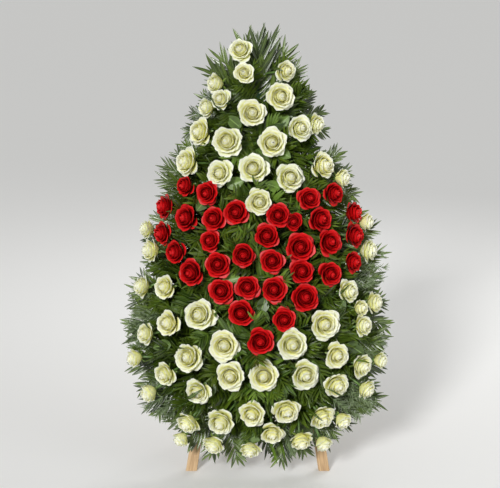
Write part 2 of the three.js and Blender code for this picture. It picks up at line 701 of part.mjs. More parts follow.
sprayPlaces(entries).forEach((place, index) => {
  const { solid, hole } = spray(place, standing, dice(900 + index));
  addNode("greens_spray_" + two(index), solid, SPRAY_GREEN);
  standing.push(solid);
  holes.push(hole);
});

let foam = foamBlock();
for (const hole of holes) foam = foam.subtract(hole);
addNode("foam_block", mainBody(foam), FOAM_GREEN);
addNode("board_back", plywoodBoard(), PLYWOOD);
for (const [name, solid] of Object.entries(easel())) addNode(name, solid, STAINED_WOOD);

// The origin goes under the middle of everything.
const whole = new THREE.Group();
whole.add(wreath);
const bounds = new THREE.Box3().setFromObject(whole, true);
wreath.position.x = -(bounds.min.x + bounds.max.x) / 2;
wreath.position.y = -(bounds.min.y + bounds.max.y) / 2;
wreath.position.z -= bounds.min.z;

export default whole;
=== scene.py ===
"""Looks of the standing funeral wreath: white and red roses, palm fronds and mixed greens on a wooden easel.

The wreath is laid out in its own upright plane, in millimetres: x across, z up, and the viewer on the -y
side. The plane leans back, so a point is turned about the x axis by the lean and moved to where the board
stands in the frame. Every petal and leaf is a grid of points given by two parameters, one along it and one
across it. A second grid just behind the first closes it to a thin body that is thickest in the middle and
sharp at its edge.
"""

import math

import bpy
import numpy as np
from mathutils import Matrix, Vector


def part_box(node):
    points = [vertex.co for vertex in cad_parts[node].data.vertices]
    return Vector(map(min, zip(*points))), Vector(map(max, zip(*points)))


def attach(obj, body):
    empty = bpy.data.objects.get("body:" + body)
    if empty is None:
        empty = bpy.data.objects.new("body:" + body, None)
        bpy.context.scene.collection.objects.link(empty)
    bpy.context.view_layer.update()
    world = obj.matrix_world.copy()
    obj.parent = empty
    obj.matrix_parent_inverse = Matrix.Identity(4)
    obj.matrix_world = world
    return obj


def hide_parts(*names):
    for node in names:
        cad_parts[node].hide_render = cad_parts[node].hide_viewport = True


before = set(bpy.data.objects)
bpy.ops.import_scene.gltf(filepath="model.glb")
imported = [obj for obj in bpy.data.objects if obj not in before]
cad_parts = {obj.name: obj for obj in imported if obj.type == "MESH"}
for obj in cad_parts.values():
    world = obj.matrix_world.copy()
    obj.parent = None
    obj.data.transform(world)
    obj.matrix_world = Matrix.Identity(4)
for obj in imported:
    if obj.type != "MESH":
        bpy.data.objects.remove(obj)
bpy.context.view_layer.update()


# The easel: planed softwood laths, the legs screwed to the back of the board, the rail and the top block
# screwed across them, and the rear leg and its brace fixed to those. Each lath is the frame's own shape with
# its sawn edges broken, and its grain runs along it.
LATHS = ["leg_front_left", "leg_front_right", "rail_cross", "block_top", "leg_rear", "brace_rear"]
EDGE_BREAK = 0.0012
WOOD_LIGHT = (0.50, 0.33, 0.17, 1)
WOOD_DARK = (0.27, 0.15, 0.065, 1)
WOOD_PALE = (0.60, 0.43, 0.25, 1)
KNOT = (0.32, 0.20, 0.12, 1)


def adder(tree):
    """A function that adds a node to a tree. A setting is an input's value if the node has that input."""
    def add(kind, **settings):
        node = tree.nodes.new(kind)
        for key, value in settings.items():
            if key in node.inputs:
                node.inputs[key].default_value = value
            else:
                setattr(node, key, value)
        return node

    return add


def new_material(name):
    """A material with its links, its Principled shader and its node adder."""
    material = bpy.data.materials.new(name)
    material.use_nodes = True
    tree = material.node_tree
    return material, tree.links, tree.nodes["Principled BSDF"], adder(tree)


def new_group(name, inputs, outputs):
    """A shader node group with named inputs, colours or numbers, and named outputs of the given kinds."""
    tree = bpy.data.node_groups.new(name, "ShaderNodeTree")
    for label, value in inputs.items():
        kind = "NodeSocketColor" if isinstance(value, tuple) else "NodeSocketFloat"
        tree.interface.new_socket(label, in_out="INPUT", socket_type=kind).default_value = value
    for label, kind in outputs.items():
        tree.interface.new_socket(label, in_out="OUTPUT", socket_type=kind)
    add = adder(tree)
    return tree, tree.links, add, add("NodeGroupInput").outputs, add("NodeGroupOutput").inputs


def ramp(add, stops):
    """A colour ramp with the given positions and colours."""
    node = add("ShaderNodeValToRGB")
    while len(node.color_ramp.elements) < len(stops):
        node.color_ramp.elements.new(0.5)
    for element, (position, color) in zip(node.color_ramp.elements, stops):
        element.position = position
        element.color = color
    return node


def bump_from(links, add, target, height, strength, distance):
    """A height output made into a normal and led to a target input."""
    bump = add("ShaderNodeBump", Strength=strength, Distance=distance)
    links.new(height, bump.inputs["Height"])
    links.new(bump.outputs["Normal"], target)


def planed_wood():
    """Softwood, read along the lath by its own coordinates, which are stored in metres with the grain last:
    noise drawn out along the grain for its streaks, wide bands of late wood, a few knots, and fine noise for
    its pores."""
    material, links, shader, add = new_material("planed softwood")
    where = add("ShaderNodeAttribute", attribute_name="grain")
    drawn = add("ShaderNodeMapping", vector_type="POINT")
    drawn.inputs["Scale"].default_value = (1, 1, 0.06)
    links.new(where.outputs["Vector"], drawn.inputs["Vector"])
    streaks = add("ShaderNodeTexNoise", Scale=260, Detail=5, Roughness=0.6)
    bands = add("ShaderNodeTexNoise", Scale=60, Detail=2, Distortion=0.8)
    pores = add("ShaderNodeTexNoise", Scale=1400, Detail=3)
    for texture in (streaks, bands, pores):
        links.new(drawn.outputs["Vector"], texture.inputs["Vector"])
    both = add("ShaderNodeMath", operation="MULTIPLY_ADD")
    both.inputs[1].default_value = 0.6
    links.new(streaks.outputs["Fac"], both.inputs[0])
    links.new(bands.outputs["Fac"], both.inputs[2])
    tone = ramp(add, [(0.55, WOOD_DARK), (0.78, WOOD_LIGHT), (0.98, WOOD_PALE)])
    links.new(both.outputs[0], tone.inputs["Fac"])
    squashed = add("ShaderNodeMapping", vector_type="POINT")
    squashed.inputs["Scale"].default_value = (1, 1, 0.45)
    links.new(where.outputs["Vector"], squashed.inputs["Vector"])
    cells = add("ShaderNodeTexVoronoi", Scale=9)
    links.new(squashed.outputs["Vector"], cells.inputs["Vector"])
    knots = ramp(add, [(0.05, KNOT), (0.08, (1, 1, 1, 1))])
    links.new(cells.outputs["Distance"], knots.inputs["Fac"])
    mixed = add("ShaderNodeMix", data_type="RGBA", blend_type="MULTIPLY")
    mixed.inputs["Factor"].default_value = 1
    links.new(tone.outputs["Color"], mixed.inputs["A"])
    links.new(knots.outputs["Color"], mixed.inputs["B"])
    links.new(mixed.outputs["Result"], shader.inputs["Base Color"])
    shader.inputs["Roughness"].default_value = 0.62
    bump_from(links, add, shader.inputs["Normal"], pores.outputs["Fac"], 0.35, 0.0006)
    return material


def frame_copy(node, bevel):
    """The frame's own mesh of a node, its loose triangles merged and its edges broken by a bevel."""
    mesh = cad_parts[node].data.copy()
    mesh.materials.clear()
    piece = bpy.data.objects.new("finished_" + node, mesh)
    bpy.context.scene.collection.objects.link(piece)
    weld = piece.modifiers.new("weld", "WELD")
    weld.merge_threshold = 0.00005
    edge = piece.modifiers.new("edge", "BEVEL")
    edge.width = bevel
    edge.segments = 2
    edge.limit_method = "ANGLE"
    edge.angle_limit = math.radians(30)
    return piece


wood = planed_wood()
for number, lath in enumerate(LATHS):
    piece = frame_copy(lath, EDGE_BREAK)
    corners = np.array([v.co for v in piece.data.vertices])
    spread = corners - corners.mean(axis=0)
    own_axes = np.linalg.svd(spread, full_matrices=False)[2][::-1]
    stored = piece.data.attributes.new("grain", "FLOAT_VECTOR", "POINT")
    stored.data.foreach_set("vector", (spread @ own_axes.T + number).ravel())
    piece.data.materials.append(wood)
    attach(piece, "root")
    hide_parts(lath)


# The board: nine millimetres of plywood sawn to the shape of a tear. Its face shows rotary-cut grain and its
# edge shows the plies, light and dark by turns. It also fixes where the wreath's own plane stands.
LEAN = math.radians(14)
BOARD_THICKNESS = 9
BOARD_EDGE_BREAK = 0.0008
HEART_OF_TEAR = 330
FOAM = {"low": 218, "high": 50, "bulge": 20, "top": 945}
RIM = {"low": 328, "high": 105, "bulge": 30, "top": 1000}
UPRIGHT = np.array([[1, 0, 0], [0, math.cos(LEAN), math.sin(LEAN)], [0, -math.sin(LEAN), math.cos(LEAN)]])


def middle_of(node):
    """The middle of a node's box, in millimetres."""
    low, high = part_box(node)
    return 500 * (np.array(low) + np.array(high))


BOARD_LOW = HEART_OF_TEAR - FOAM["low"]
BOARD_MIDDLE = np.array([0, BOARD_THICKNESS / 2, (BOARD_LOW + FOAM["top"] + FOAM["high"]) / 2])
PLANE_ORIGIN = middle_of("board_back") - UPRIGHT @ BOARD_MIDDLE


def placed(points):
    """Points of the wreath's plane, in millimetres, as points of the frame, in metres."""
    return (points @ UPRIGHT.T + PLANE_ORIGIN) / 1000


def plywood():
    """Plywood: stripes across the thickness for the plies at the edge, and drawn-out noise for the face."""
    material, links, shader, add = new_material("plywood")
    where = add("ShaderNodeTexCoord")
    level = add("ShaderNodeMapping", vector_type="POINT")
    level.inputs["Rotation"].default_value = (LEAN, 0, 0)
    links.new(where.outputs["Object"], level.inputs["Vector"])
    plies = add("ShaderNodeTexWave", bands_direction="Y", Scale=180, Distortion=0.4)
    links.new(level.outputs["Vector"], plies.inputs["Vector"])
    drawn = add("ShaderNodeMapping", vector_type="POINT")
    drawn.inputs["Scale"].default_value = (1, 0.02, 0.08)
    links.new(level.outputs["Vector"], drawn.inputs["Vector"])
    grain = add("ShaderNodeTexNoise", Scale=90, Detail=6, Distortion=1.2)
    links.new(drawn.outputs["Vector"], grain.inputs["Vector"])
    face = ramp(
        add,
        [(0.3, (0.50, 0.34, 0.18, 1)), (0.55, (0.66, 0.49, 0.29, 1)), (0.75, (0.74, 0.58, 0.38, 1))],
    )
    links.new(grain.outputs["Fac"], face.inputs["Fac"])
    edge = ramp(add, [(0.35, (0.30, 0.18, 0.09, 1)), (0.6, (1, 1, 1, 1))])
    links.new(plies.outputs["Fac"], edge.inputs["Fac"])
    mixed = add("ShaderNodeMix", data_type="RGBA", blend_type="MULTIPLY")
    mixed.inputs["Factor"].default_value = 0.45
    links.new(face.outputs["Color"], mixed.inputs["A"])
    links.new(edge.outputs["Color"], mixed.inputs["B"])
    links.new(mixed.outputs["Result"], shader.inputs["Base Color"])
    shader.inputs["Roughness"].default_value = 0.7
    bump_from(links, add, shader.inputs["Normal"], grain.outputs["Fac"], 0.25, 0.0008)
    return material


board = frame_copy("board_back", BOARD_EDGE_BREAK)
board.data.materials.append(plywood())
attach(board, "root")
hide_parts("board_back")


# The screws: countersunk steel screws with a crossed slot, two through the rail and two through the top block
# into each leg, set almost flush in the wood from behind. The heads are not cut: each slot is painted shade.
SCREW_RADIUS = 4.2
SCREW_STANDS = 0.6
SCREW_SPACING = 9
SCREW_SIDES = 20
LATH_END = 45


def local_points(node):
    """A node's points in the wreath's own plane, in millimetres."""
    points = 1000 * np.array([v.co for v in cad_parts[node].data.vertices])
    return (points - PLANE_ORIGIN) @ UPRIGHT


def lath_middle(node, z):
    """How far across a lath's middle line lies at a height: the line between the middles of its ends."""
    points = local_points(node)
    low = points[points[:, 2] < points[:, 2].min() + LATH_END].mean(axis=0)
    high = points[points[:, 2] > points[:, 2].max() - LATH_END].mean(axis=0)
    return mix(low[0], high[0], (z - low[2]) / (high[2] - low[2]))


def mix(a, b, t):
    """The value that lies a share t of the way from a to b."""
    return a + (b - a) * t


def zinc():
    """Zinc-plated steel: a crossed slot painted near black as its shade, read by the head's own coordinates,
    and a fine brushed roughness.
    """
    material, links, shader, add = new_material("zinc plated steel")
    where = add("ShaderNodeAttribute", attribute_name="slot")
    # The slot's near black is painted shade, for the head's mesh has no slot cut in it.
    slot = ramp(add, [(0.10, (0.02, 0.02, 0.02, 1)), (0.16, (0.55, 0.52, 0.44, 1))])
    links.new(where.outputs["Fac"], slot.inputs["Fac"])
    links.new(slot.outputs["Color"], shader.inputs["Base Color"])
    shader.inputs["Metallic"].default_value = 0.9
    scratches = add("ShaderNodeTexNoise", Scale=2600, Detail=2)
    place = add("ShaderNodeTexCoord")
    links.new(place.outputs["Object"], scratches.inputs["Vector"])
    rough = add("ShaderNodeMapRange")
    rough.inputs["To Min"].default_value = 0.28
    rough.inputs["To Max"].default_value = 0.5
    links.new(scratches.outputs["Fac"], rough.inputs["Value"])
    links.new(rough.outputs["Result"], shader.inputs["Roughness"])
    return material


screws = []
for holder in ("rail_cross", "block_top"):
    box = local_points(holder)
    height = (box[:, 2].min() + box[:, 2].max()) / 2
    for leg in ("leg_front_left", "leg_front_right"):
        for step in (-SCREW_SPACING, SCREW_SPACING):
            screws.append([lath_middle(leg, height + step), box[:, 1].max(), height + step])
screws = np.array(screws)
reach = np.array([1, 0.98, 0.8, 0.55, 0.3, 0.08])[:, None] * SCREW_RADIUS
stand = np.array([-1.5, 0.2, 0.75, 0.95, 1, 1])[:, None] * SCREW_STANDS
angle = np.linspace(0, 2 * np.pi, SCREW_SIDES, endpoint=False)[None, :]
head = np.stack([reach * np.cos(angle), stand + 0 * angle, reach * np.sin(angle)], axis=-1)
rings = len(reach)
k = np.arange(SCREW_SIDES)
after = (k + 1) % SCREW_SIDES
rows = np.arange(rings - 1)[:, None] * SCREW_SIDES
walls = np.stack([rows + k, rows + k + SCREW_SIDES, rows + after + SCREW_SIDES, rows + after], axis=-1)
walls = walls.reshape(-1, 4)
top_face = (rings - 1) * SCREW_SIDES + k
faces = []
for number in range(len(screws)):
    first = number * rings * SCREW_SIDES
    faces += (walls + first).tolist() + [(top_face + first).tolist(), (k[::-1] + first).tolist()]
mesh = bpy.data.meshes.new("screws")
mesh.from_pydata(placed((screws[:, None, None] + head).reshape(-1, 3)).tolist(), [], faces)
mesh.polygons.foreach_set("use_smooth", np.ones(len(mesh.polygons), dtype=bool))
# How far each point lies from the lines of the slot that the steel paints dark as shade; the outer rings are
# kept clear of it.
slot = np.minimum(np.abs(head[..., 0]), np.abs(head[..., 2])) / SCREW_RADIUS
slot = slot + 2 * (reach / SCREW_RADIUS > 0.7)
stored = mesh.attributes.new("slot", "FLOAT", "POINT")
stored.data.foreach_set("value", np.tile(slot.ravel(), len(screws)).astype(np.float32))
mesh.materials.append(zinc())
piece = bpy.data.objects.new("screws", mesh)
bpy.context.scene.collection.objects.link(piece)
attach(piece, "root")


# The foam: a domed block of wet green floral foam glued to the board, fine, crumbly and pricked by the stems.
# The frame's own solid, with its stem holes, keeps its shape and gets the foam's surface.
def wet_foam():
    """Wet foam: cells and fine noise for the crumb, and wide noise for the damp patches."""
    material, links, shader, add = new_material("wet floral foam")
    where = add("ShaderNodeTexCoord")
    cells = add("ShaderNodeTexVoronoi", Scale=900)
    crumb = add("ShaderNodeTexNoise", Scale=320, Detail=8, Roughness=0.75)
    damp = add("ShaderNodeTexNoise", Scale=22, Detail=3)
    for texture in (cells, crumb, damp):
        links.new(where.outputs["Object"], texture.inputs["Vector"])
    tone = ramp(add, [(0.35, (0.012, 0.045, 0.016, 1)), (0.65, (0.035, 0.105, 0.036, 1))])
    links.new(damp.outputs["Fac"], tone.inputs["Fac"])
    links.new(tone.outputs["Color"], shader.inputs["Base Color"])
    shader.inputs["Roughness"].default_value = 0.9
    height = add("ShaderNodeMath", operation="ADD")
    links.new(cells.outputs["Distance"], height.inputs[0])
    links.new(crumb.outputs["Fac"], height.inputs[1])
    bump_from(links, add, shader.inputs["Normal"], height.outputs[0], 0.9, 0.002)
    return material


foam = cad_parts["foam_block"]
foam.material_slots[0].material = wet_foam()


# The roses: full florist roses pushed into the foam on their own stems, in twos, threes and fours. The open
# ones have nearly thirty petals in a spiral that opens from a tight heart, and the outer petals roll back.
# The narrow heads are half open. Each entry gives a bloom's place across, its height and its width.
WHITE_BUNCHES = [
    [[-45, 1040, 60], [-35, 980, 50], [72, 988, 55]],
    [[57, 922, 68], [-15, 880, 68]],
    [[-108, 958, 48], [-95, 917, 52], [-130, 898, 45], [-148, 835, 65]],
    [[-78, 810, 76], [-182, 760, 65], [-97, 730, 62]],
    [[106, 844, 62], [150, 856, 50], [165, 752, 68], [215, 722, 45]],
    [[35, 806, 72], [-13, 742, 72], [80, 720, 70], [3, 658, 66]],
    [[276, 612, 45], [284, 540, 60]],
    [[-284, 594, 50], [-274, 540, 60], [-296, 449, 56], [-235, 447, 60]],
    [[229, 437, 60], [258, 395, 40], [296, 408, 52]],
    [[-148, 378, 78], [-226, 356, 66], [-284, 330, 54]],
    [[266, 352, 56], [167, 354, 72], [198, 277, 62]],
    [[-84, 302, 72], [-175, 272, 74], [-69, 225, 72]],
    [[86, 304, 76], [14, 225, 72], [118, 228, 74]],
    [[-234, 228, 60], [-276, 180, 48], [-312, 268, 45]],
    [[262, 250, 60], [310, 262, 40], [275, 190, 52], [198, 202, 64]],
    [[161, 120, 64], [214, 112, 46], [108, 60, 58], [165, 52, 44]],
    [[-150, 186, 62], [-177, 105, 60], [-196, 62, 42]],
    [[72, 138, 68], [36, 80, 56], [-15, 130, 64]],
    [[-94, 108, 68], [-112, 50, 58], [-20, 38, 54]],
]
RED_BUNCHES = [
    [[-184, 700, 54], [-128, 680, 56]],
    [[-236, 649, 62], [-182, 619, 62], [-242, 582, 56]],
    [[-112, 617, 60], [-55, 633, 62], [-121, 562, 54]],
    [[50, 625, 58], [88, 610, 42], [22, 574, 64]],
    [[129, 668, 56], [192, 682, 56], [158, 617, 62]],
    [[244, 634, 56], [245, 576, 60], [181, 560, 60]],
    [[-208, 534, 60], [-168, 482, 66], [-100, 503, 62]],
    [[-36, 526, 62], [35, 512, 60], [105, 546, 70], [109, 486, 62]],
    [[182, 480, 58], [240, 510, 54]],
    [[-92, 437, 62], [-26, 447, 58], [-42, 382, 66]],
    [[40, 441, 62], [118, 422, 70], [65, 366, 58], [6, 312, 66]],
]
BLOOM_EDGE_DEPTH = 88
BLOOM_DOME = 82
BLOOM_TILT = math.radians(72)
BLOOM_MIDDLE = 0.78
AXIS_CHANCE = 0.12
BUD_WIDTH = 49
STUB_LENGTH = 38
STEM_SUNK = 5
NEAR_STUB = 11
STUB_LEAN = 0.35
STUB_HIGHEST_SHARE = 0.76
ROSE_PETALS = 28
GUARD_PETALS = 3
PETAL_SPREAD = 1.115
PETAL_THICKNESS = 0.5
LOOSE_HEART = 0.42
BUD_PETALS = 15
GOLDEN_ANGLE = math.pi * (3 - math.sqrt(5))
FRONT = np.array([0.0, -1.0, 0.0])
blooms = []


def dice(seed):
    """Repeatable numbers from 0 to 1 by the linear congruential rule that the frame's own layout uses."""
    state = seed
    while True:
        state = (state * 1664525 + 1013904223) % 4294967296
        yield state / 4294967296


def unit(vector):
    """A vector, or each vector of an array, at a length of one."""
    return vector / np.linalg.norm(vector, axis=-1, keepdims=True)


def place_in(tear, x, z):
    """Where a place lies in a tear: the way out from the nearest spot of its spine, its share of the reach,
    and the reach itself, which shrinks evenly with height, plus half a sine wave for the sides' bulge."""
    spine = np.clip(z, HEART_OF_TEAR, tear["top"])
    t = (spine - HEART_OF_TEAR) / (tear["top"] - HEART_OF_TEAR)
    reach = mix(tear["low"], tear["high"], t) + tear["bulge"] * np.sin(np.pi * t)
    distance = np.maximum(np.hypot(x, z - spine), 1e-6)
    out = np.stack([x / distance, 0 * x, (z - spine) / distance], axis=-1)
    return out, distance / reach, reach


def bloom_pose(x, z, chance):
    """A bloom's middle lies on a dome. Its axis turns outwards with the square of its share of the reach, and
    a little by chance."""
    out, share, _ = place_in(RIM, float(x), float(z))
    inside = min(1, share)
    centre = np.array([x, -(BLOOM_EDGE_DEPTH + BLOOM_DOME * math.sqrt(1 - inside * inside)), z])
    tilt = BLOOM_TILT * inside * inside
    axis = FRONT * math.cos(tilt) + out * math.sin(tilt)
    axis[0] += mix(-AXIS_CHANCE, AXIS_CHANCE, next(chance))
    axis[2] += mix(-AXIS_CHANCE, AXIS_CHANCE, next(chance))
    return centre, unit(axis)


def square_to(axis):
    """Two directions square to an axis and to each other."""
    u = unit(np.array([0, 0, 1.0]) - axis * axis[2])
    return u, np.cross(axis, u)


def stub_of(node):
    """The inner end of a bunch's stub in the foam: the mean of the frame's points nearest to its deepest
    point. All of the node's points come with it."""
    local = local_points(node)
    deepest = local[local[:, 1].argmax()]
    near = np.linalg.norm(local - deepest, axis=1) < NEAR_STUB
    return local[near].mean(axis=0), local


def stub_way(point):
    """A stub leans outwards a little with its share of the foam's reach."""
    out, share, _ = place_in(FOAM, point[0], point[2])
    return unit(FRONT + out * STUB_LEAN * min(share, STUB_HIGHEST_SHARE))


def smooth_body(name, points, face_groups, material):
    """A smooth piece from points of the wreath's plane and arrays of faces, one to a number of corners."""
    corners = np.concatenate([group.ravel() for group in face_groups])
    sizes = np.concatenate([np.full(len(group), group.shape[1]) for group in face_groups])
    mesh = bpy.data.meshes.new(name)
    mesh.vertices.add(len(points))
    mesh.vertices.foreach_set("co", placed(points).ravel())
    mesh.loops.add(len(corners))
    mesh.loops.foreach_set("vertex_index", corners)
    mesh.polygons.add(len(sizes))
    mesh.polygons.foreach_set("loop_start", np.cumsum(sizes) - sizes)
    mesh.polygons.foreach_set("use_smooth", np.ones(len(sizes), dtype=bool))
    mesh.update(calc_edges=True)
    mesh.materials.append(material)
    piece = bpy.data.objects.new(name, mesh)
    bpy.context.scene.collection.objects.link(piece)
    return piece


def thin_sheets(name, grids, thickness, material, marks):
    """Thin closed bodies from grids of points (sheet, along, across). The back of a sheet shares the border
    of its front, and its inner points lie one thickness behind along the sheet's normal, so the body is a
    lens. Marks are per-point values that the material reads, and the map named leaf holds how far across and
    along a point is."""
    sheets, rows, columns = grids.shape[:3]
    along = np.gradient(grids, axis=1)
    across = np.gradient(grids, axis=2)
    normal = np.cross(across, along)
    normal /= np.maximum(np.linalg.norm(normal, axis=-1, keepdims=True), 1e-9)
    back = (grids - normal * thickness)[:, 1:-1, 1:-1]
    front_count = rows * columns
    inner_count = (rows - 2) * (columns - 2)
    index = np.arange(front_count).reshape(rows, columns)
    behind = index.copy()
    behind[1:-1, 1:-1] = front_count + np.arange(inner_count).reshape(rows - 2, columns - 2)

    def quads(numbers):
        corners = [numbers[:-1, :-1], numbers[:-1, 1:], numbers[1:, 1:], numbers[1:, :-1]]
        return np.stack(corners, axis=-1).reshape(-1, 4)

    one = np.concatenate([quads(index), quads(behind)[:, ::-1]])
    per_sheet = front_count + inner_count
    faces = (one[None] + per_sheet * np.arange(sheets)[:, None, None]).reshape(-1, 4)
    points = np.concatenate([grids.reshape(sheets, -1, 3), back.reshape(sheets, -1, 3)], axis=1)
    points = points.reshape(-1, 3)

    def spread(values):
        full = np.broadcast_to(values, (sheets, rows, columns))
        inner = full[:, 1:-1, 1:-1].reshape(sheets, -1)
        return np.concatenate([full.reshape(sheets, -1), inner], axis=1).ravel()

    piece = smooth_body(name, points, [faces], material)
    mesh = piece.data
    v = spread(np.linspace(0, 1, rows)[None, :, None])
    u = spread(np.linspace(0, 1, columns)[None, None, :])
    layer = mesh.uv_layers.new(name="leaf")
    layer.data.foreach_set("uv", np.stack([u[faces.ravel()], v[faces.ravel()]], axis=-1).ravel())
    for mark, values in marks.items():
        stored = mesh.attributes.new(mark, "FLOAT", "POINT")
        stored.data.foreach_set("value", spread(values).astype(np.float32))
    mesh.set_sharp_from_angle(angle=math.radians(70))
    return piece


def rose_petals(radius, opened, ruffle, chance):
    """The petals of one head as grids, in a frame whose third axis is the stem's, with the neck at zero, and
    their t. Petal i of n stands at i golden angles, and t runs from 0 at the heart to 1 outside. An inner
    petal lies on a ball: a cup up to its equator, then the ball itself up to the latitude where its rim is,
    so the heart closes to a dome. An outer petal is a cup, one minus a power of what is left, and a smooth
    step that leans it out. Petals between them are a mix of both. Each rim rolls outwards with the square of
    the last quarter, and the corners of the outer petals roll furthest, which leaves a soft point between
    them."""
    count = round(mix(BUD_PETALS, ROSE_PETALS, opened))
    rng = np.random.default_rng(int(next(chance) * 1e9))
    t = np.linspace(0, 1, count)[:, None, None]
    v = np.linspace(0, 1, 8)[None, :, None]
    u = np.linspace(-1, 1, 7)[None, None, :]
    jitter = rng.uniform(-1, 1, (8, count, 1, 1))
    turn = GOLDEN_ANGLE * np.arange(count)[:, None, None] + 0.15 * jitter[0]
    spread = mix(0.94, 1.06, next(chance))
    guard = (np.arange(count) >= count - GUARD_PETALS)[:, None, None] * opened
    outermost = mix(0.66, 0.95 * spread, opened)
    rim = outermost * np.maximum(0, t - 1 / count) ** 0.74 * (1 + (0.03 + 0.05 * guard) * jitter[1])
    belly = mix(0.26, mix(0.66, 0.68, opened), t ** 0.8)
    top = mix(1.46 - 0.22 * t, 1.38 - 0.40 * t - 0.18 * t ** 3, opened) + 0.03 * jitter[2] * (0.3 + t)
    top = top - guard * (0.16 + 0.10 * jitter[4])
    half_angle = mix(2.3, mix(1.15, 0.80, opened), t ** 0.45)
    outline = np.sqrt(np.maximum(0, 1 - ((v - 0.62) / np.where(v < 0.62, 0.66, 0.46)) ** 2))
    half_angle = half_angle * mix(1, outline, np.minimum(1, 4 * t))
    rise = v * (1 - 0.13 * u ** 2 * v ** 3 * np.minimum(1, 4 * t))
    tip = np.clip((rise - 0.72) / 0.28, 0, 1)
    ball = 0.36 + 0.52 * t
    latitude = np.arccos(np.clip(rim / ball, 0, 1))
    below = np.minimum(1, 2 * rise)
    above = np.clip(2 * rise - 1, 0, 1) * latitude
    equator = top - ball * np.sin(latitude)
    dome_reach = (0.07 + (ball - 0.07) * (1 - (1 - below) ** 2.3)) * np.cos(above)
    dome_height = equator * below ** 1.1 + ball * np.sin(above)
    step = np.clip((rise - 0.4) / 0.6, 0, 1)
    open_reach = 0.07 + (belly - 0.07) * (1 - (1 - rise) ** 2.3) + (rim - belly) * step ** 2 * (3 - 2 * step)
    outer = mix(LOOSE_HEART, 1, np.clip(t / 0.75, 0, 1)) + 0.12 * jitter[5] * np.minimum(1, 4 * t)
    curl = np.minimum(0.2 * t, 0.02) + 0.11 * t * mix(0.5, 1, opened)
    roll = tip ** 2 * (curl + 0.09 * ruffle * t * np.abs(u) ** 3)
    slow_wave = 0.034 * np.sin(5 * u + 5 * jitter[3]) * (0.1 + t)
    quick_wave = 0.014 * t * np.sin(7 * u + 8 * jitter[0])
    wave = ruffle * (slow_wave + quick_wave) * rise ** 2
    reach = mix(dome_reach, open_reach, outer) + roll + wave + 0.045 * u * rise * np.minimum(0.5 + t, 4 * t)
    height = mix(dome_height, top * rise ** 1.10, outer)
    height = height - tip ** 2.2 * 0.20 * t ** 2 * opened - 0.05 * t * opened * u ** 2 * tip
    height = height + 0.05 * ruffle * t * tip ** 2 * np.exp(-((u / 0.3) ** 2))
    angle = turn + half_angle * u * (1 - 0.10 * tip)
    aside = 0.08 * (1 - t) * np.minimum(1, 5 * t) * rise
    x = reach * np.cos(angle) + aside * jitter[6]
    y = reach * np.sin(angle) + aside * jitter[7]
    return radius * np.stack(np.broadcast_arrays(x, y, height), axis=-1), t


def leaf_map(links, add):
    """The two coordinates of a sheet, across and along."""
    uv = add("ShaderNodeUVMap", uv_map="leaf")
    split = add("ShaderNodeSeparateXYZ")
    links.new(uv.outputs["UV"], split.inputs["Vector"])
    return uv.outputs["UV"], split.outputs["X"], split.outputs["Y"]


def ridges_group():
    """Fine ridges along a sheet: noise read by its coordinates, drawn out along it, as a bumped normal."""
    inputs = {"Across": 26.0, "Along": 1.6, "Strength": 0.35, "Height": 0.0007}
    tree, links, add, inlet, outlet = new_group("fine ridges", inputs, {"Normal": "NodeSocketVector"})
    both, _, _ = leaf_map(links, add)
    scale = add("ShaderNodeCombineXYZ")
    links.new(inlet["Across"], scale.inputs["X"])
    links.new(inlet["Along"], scale.inputs["Y"])
    drawn = add("ShaderNodeVectorMath", operation="MULTIPLY")
    links.new(both, drawn.inputs[0])
    links.new(scale.outputs["Vector"], drawn.inputs[1])
    noise = add("ShaderNodeTexNoise", Scale=1.6, Detail=3)
    links.new(drawn.outputs["Vector"], noise.inputs["Vector"])
    bump = add("ShaderNodeBump")
    links.new(inlet["Strength"], bump.inputs["Strength"])
    links.new(inlet["Height"], bump.inputs["Distance"])
    links.new(noise.outputs["Fac"], bump.inputs["Height"])
    links.new(bump.outputs["Normal"], outlet["Normal"])
    return tree


def mottle_group():
    """Soft uneven shade: noise in the object's own space, stretched between a lowest value and one."""
    inputs = {"Scale": 70.0, "Lowest": 0.8}
    tree, links, add, inlet, outlet = new_group("mottle", inputs, {"Shade": "NodeSocketFloat"})
    where = add("ShaderNodeTexCoord")
    noise = add("ShaderNodeTexNoise", Detail=4)
    links.new(where.outputs["Object"], noise.inputs["Vector"])
    links.new(inlet["Scale"], noise.inputs["Scale"])
    spread = add("ShaderNodeMapRange")
    spread.inputs["From Min"].default_value = 0.3
    spread.inputs["From Max"].default_value = 0.68
    links.new(noise.outputs["Fac"], spread.inputs["Value"])
    links.new(inlet["Lowest"], spread.inputs["To Min"])
    links.new(spread.outputs["Result"], outlet["Shade"])
    return tree


ridges = ridges_group()
mottle = mottle_group()


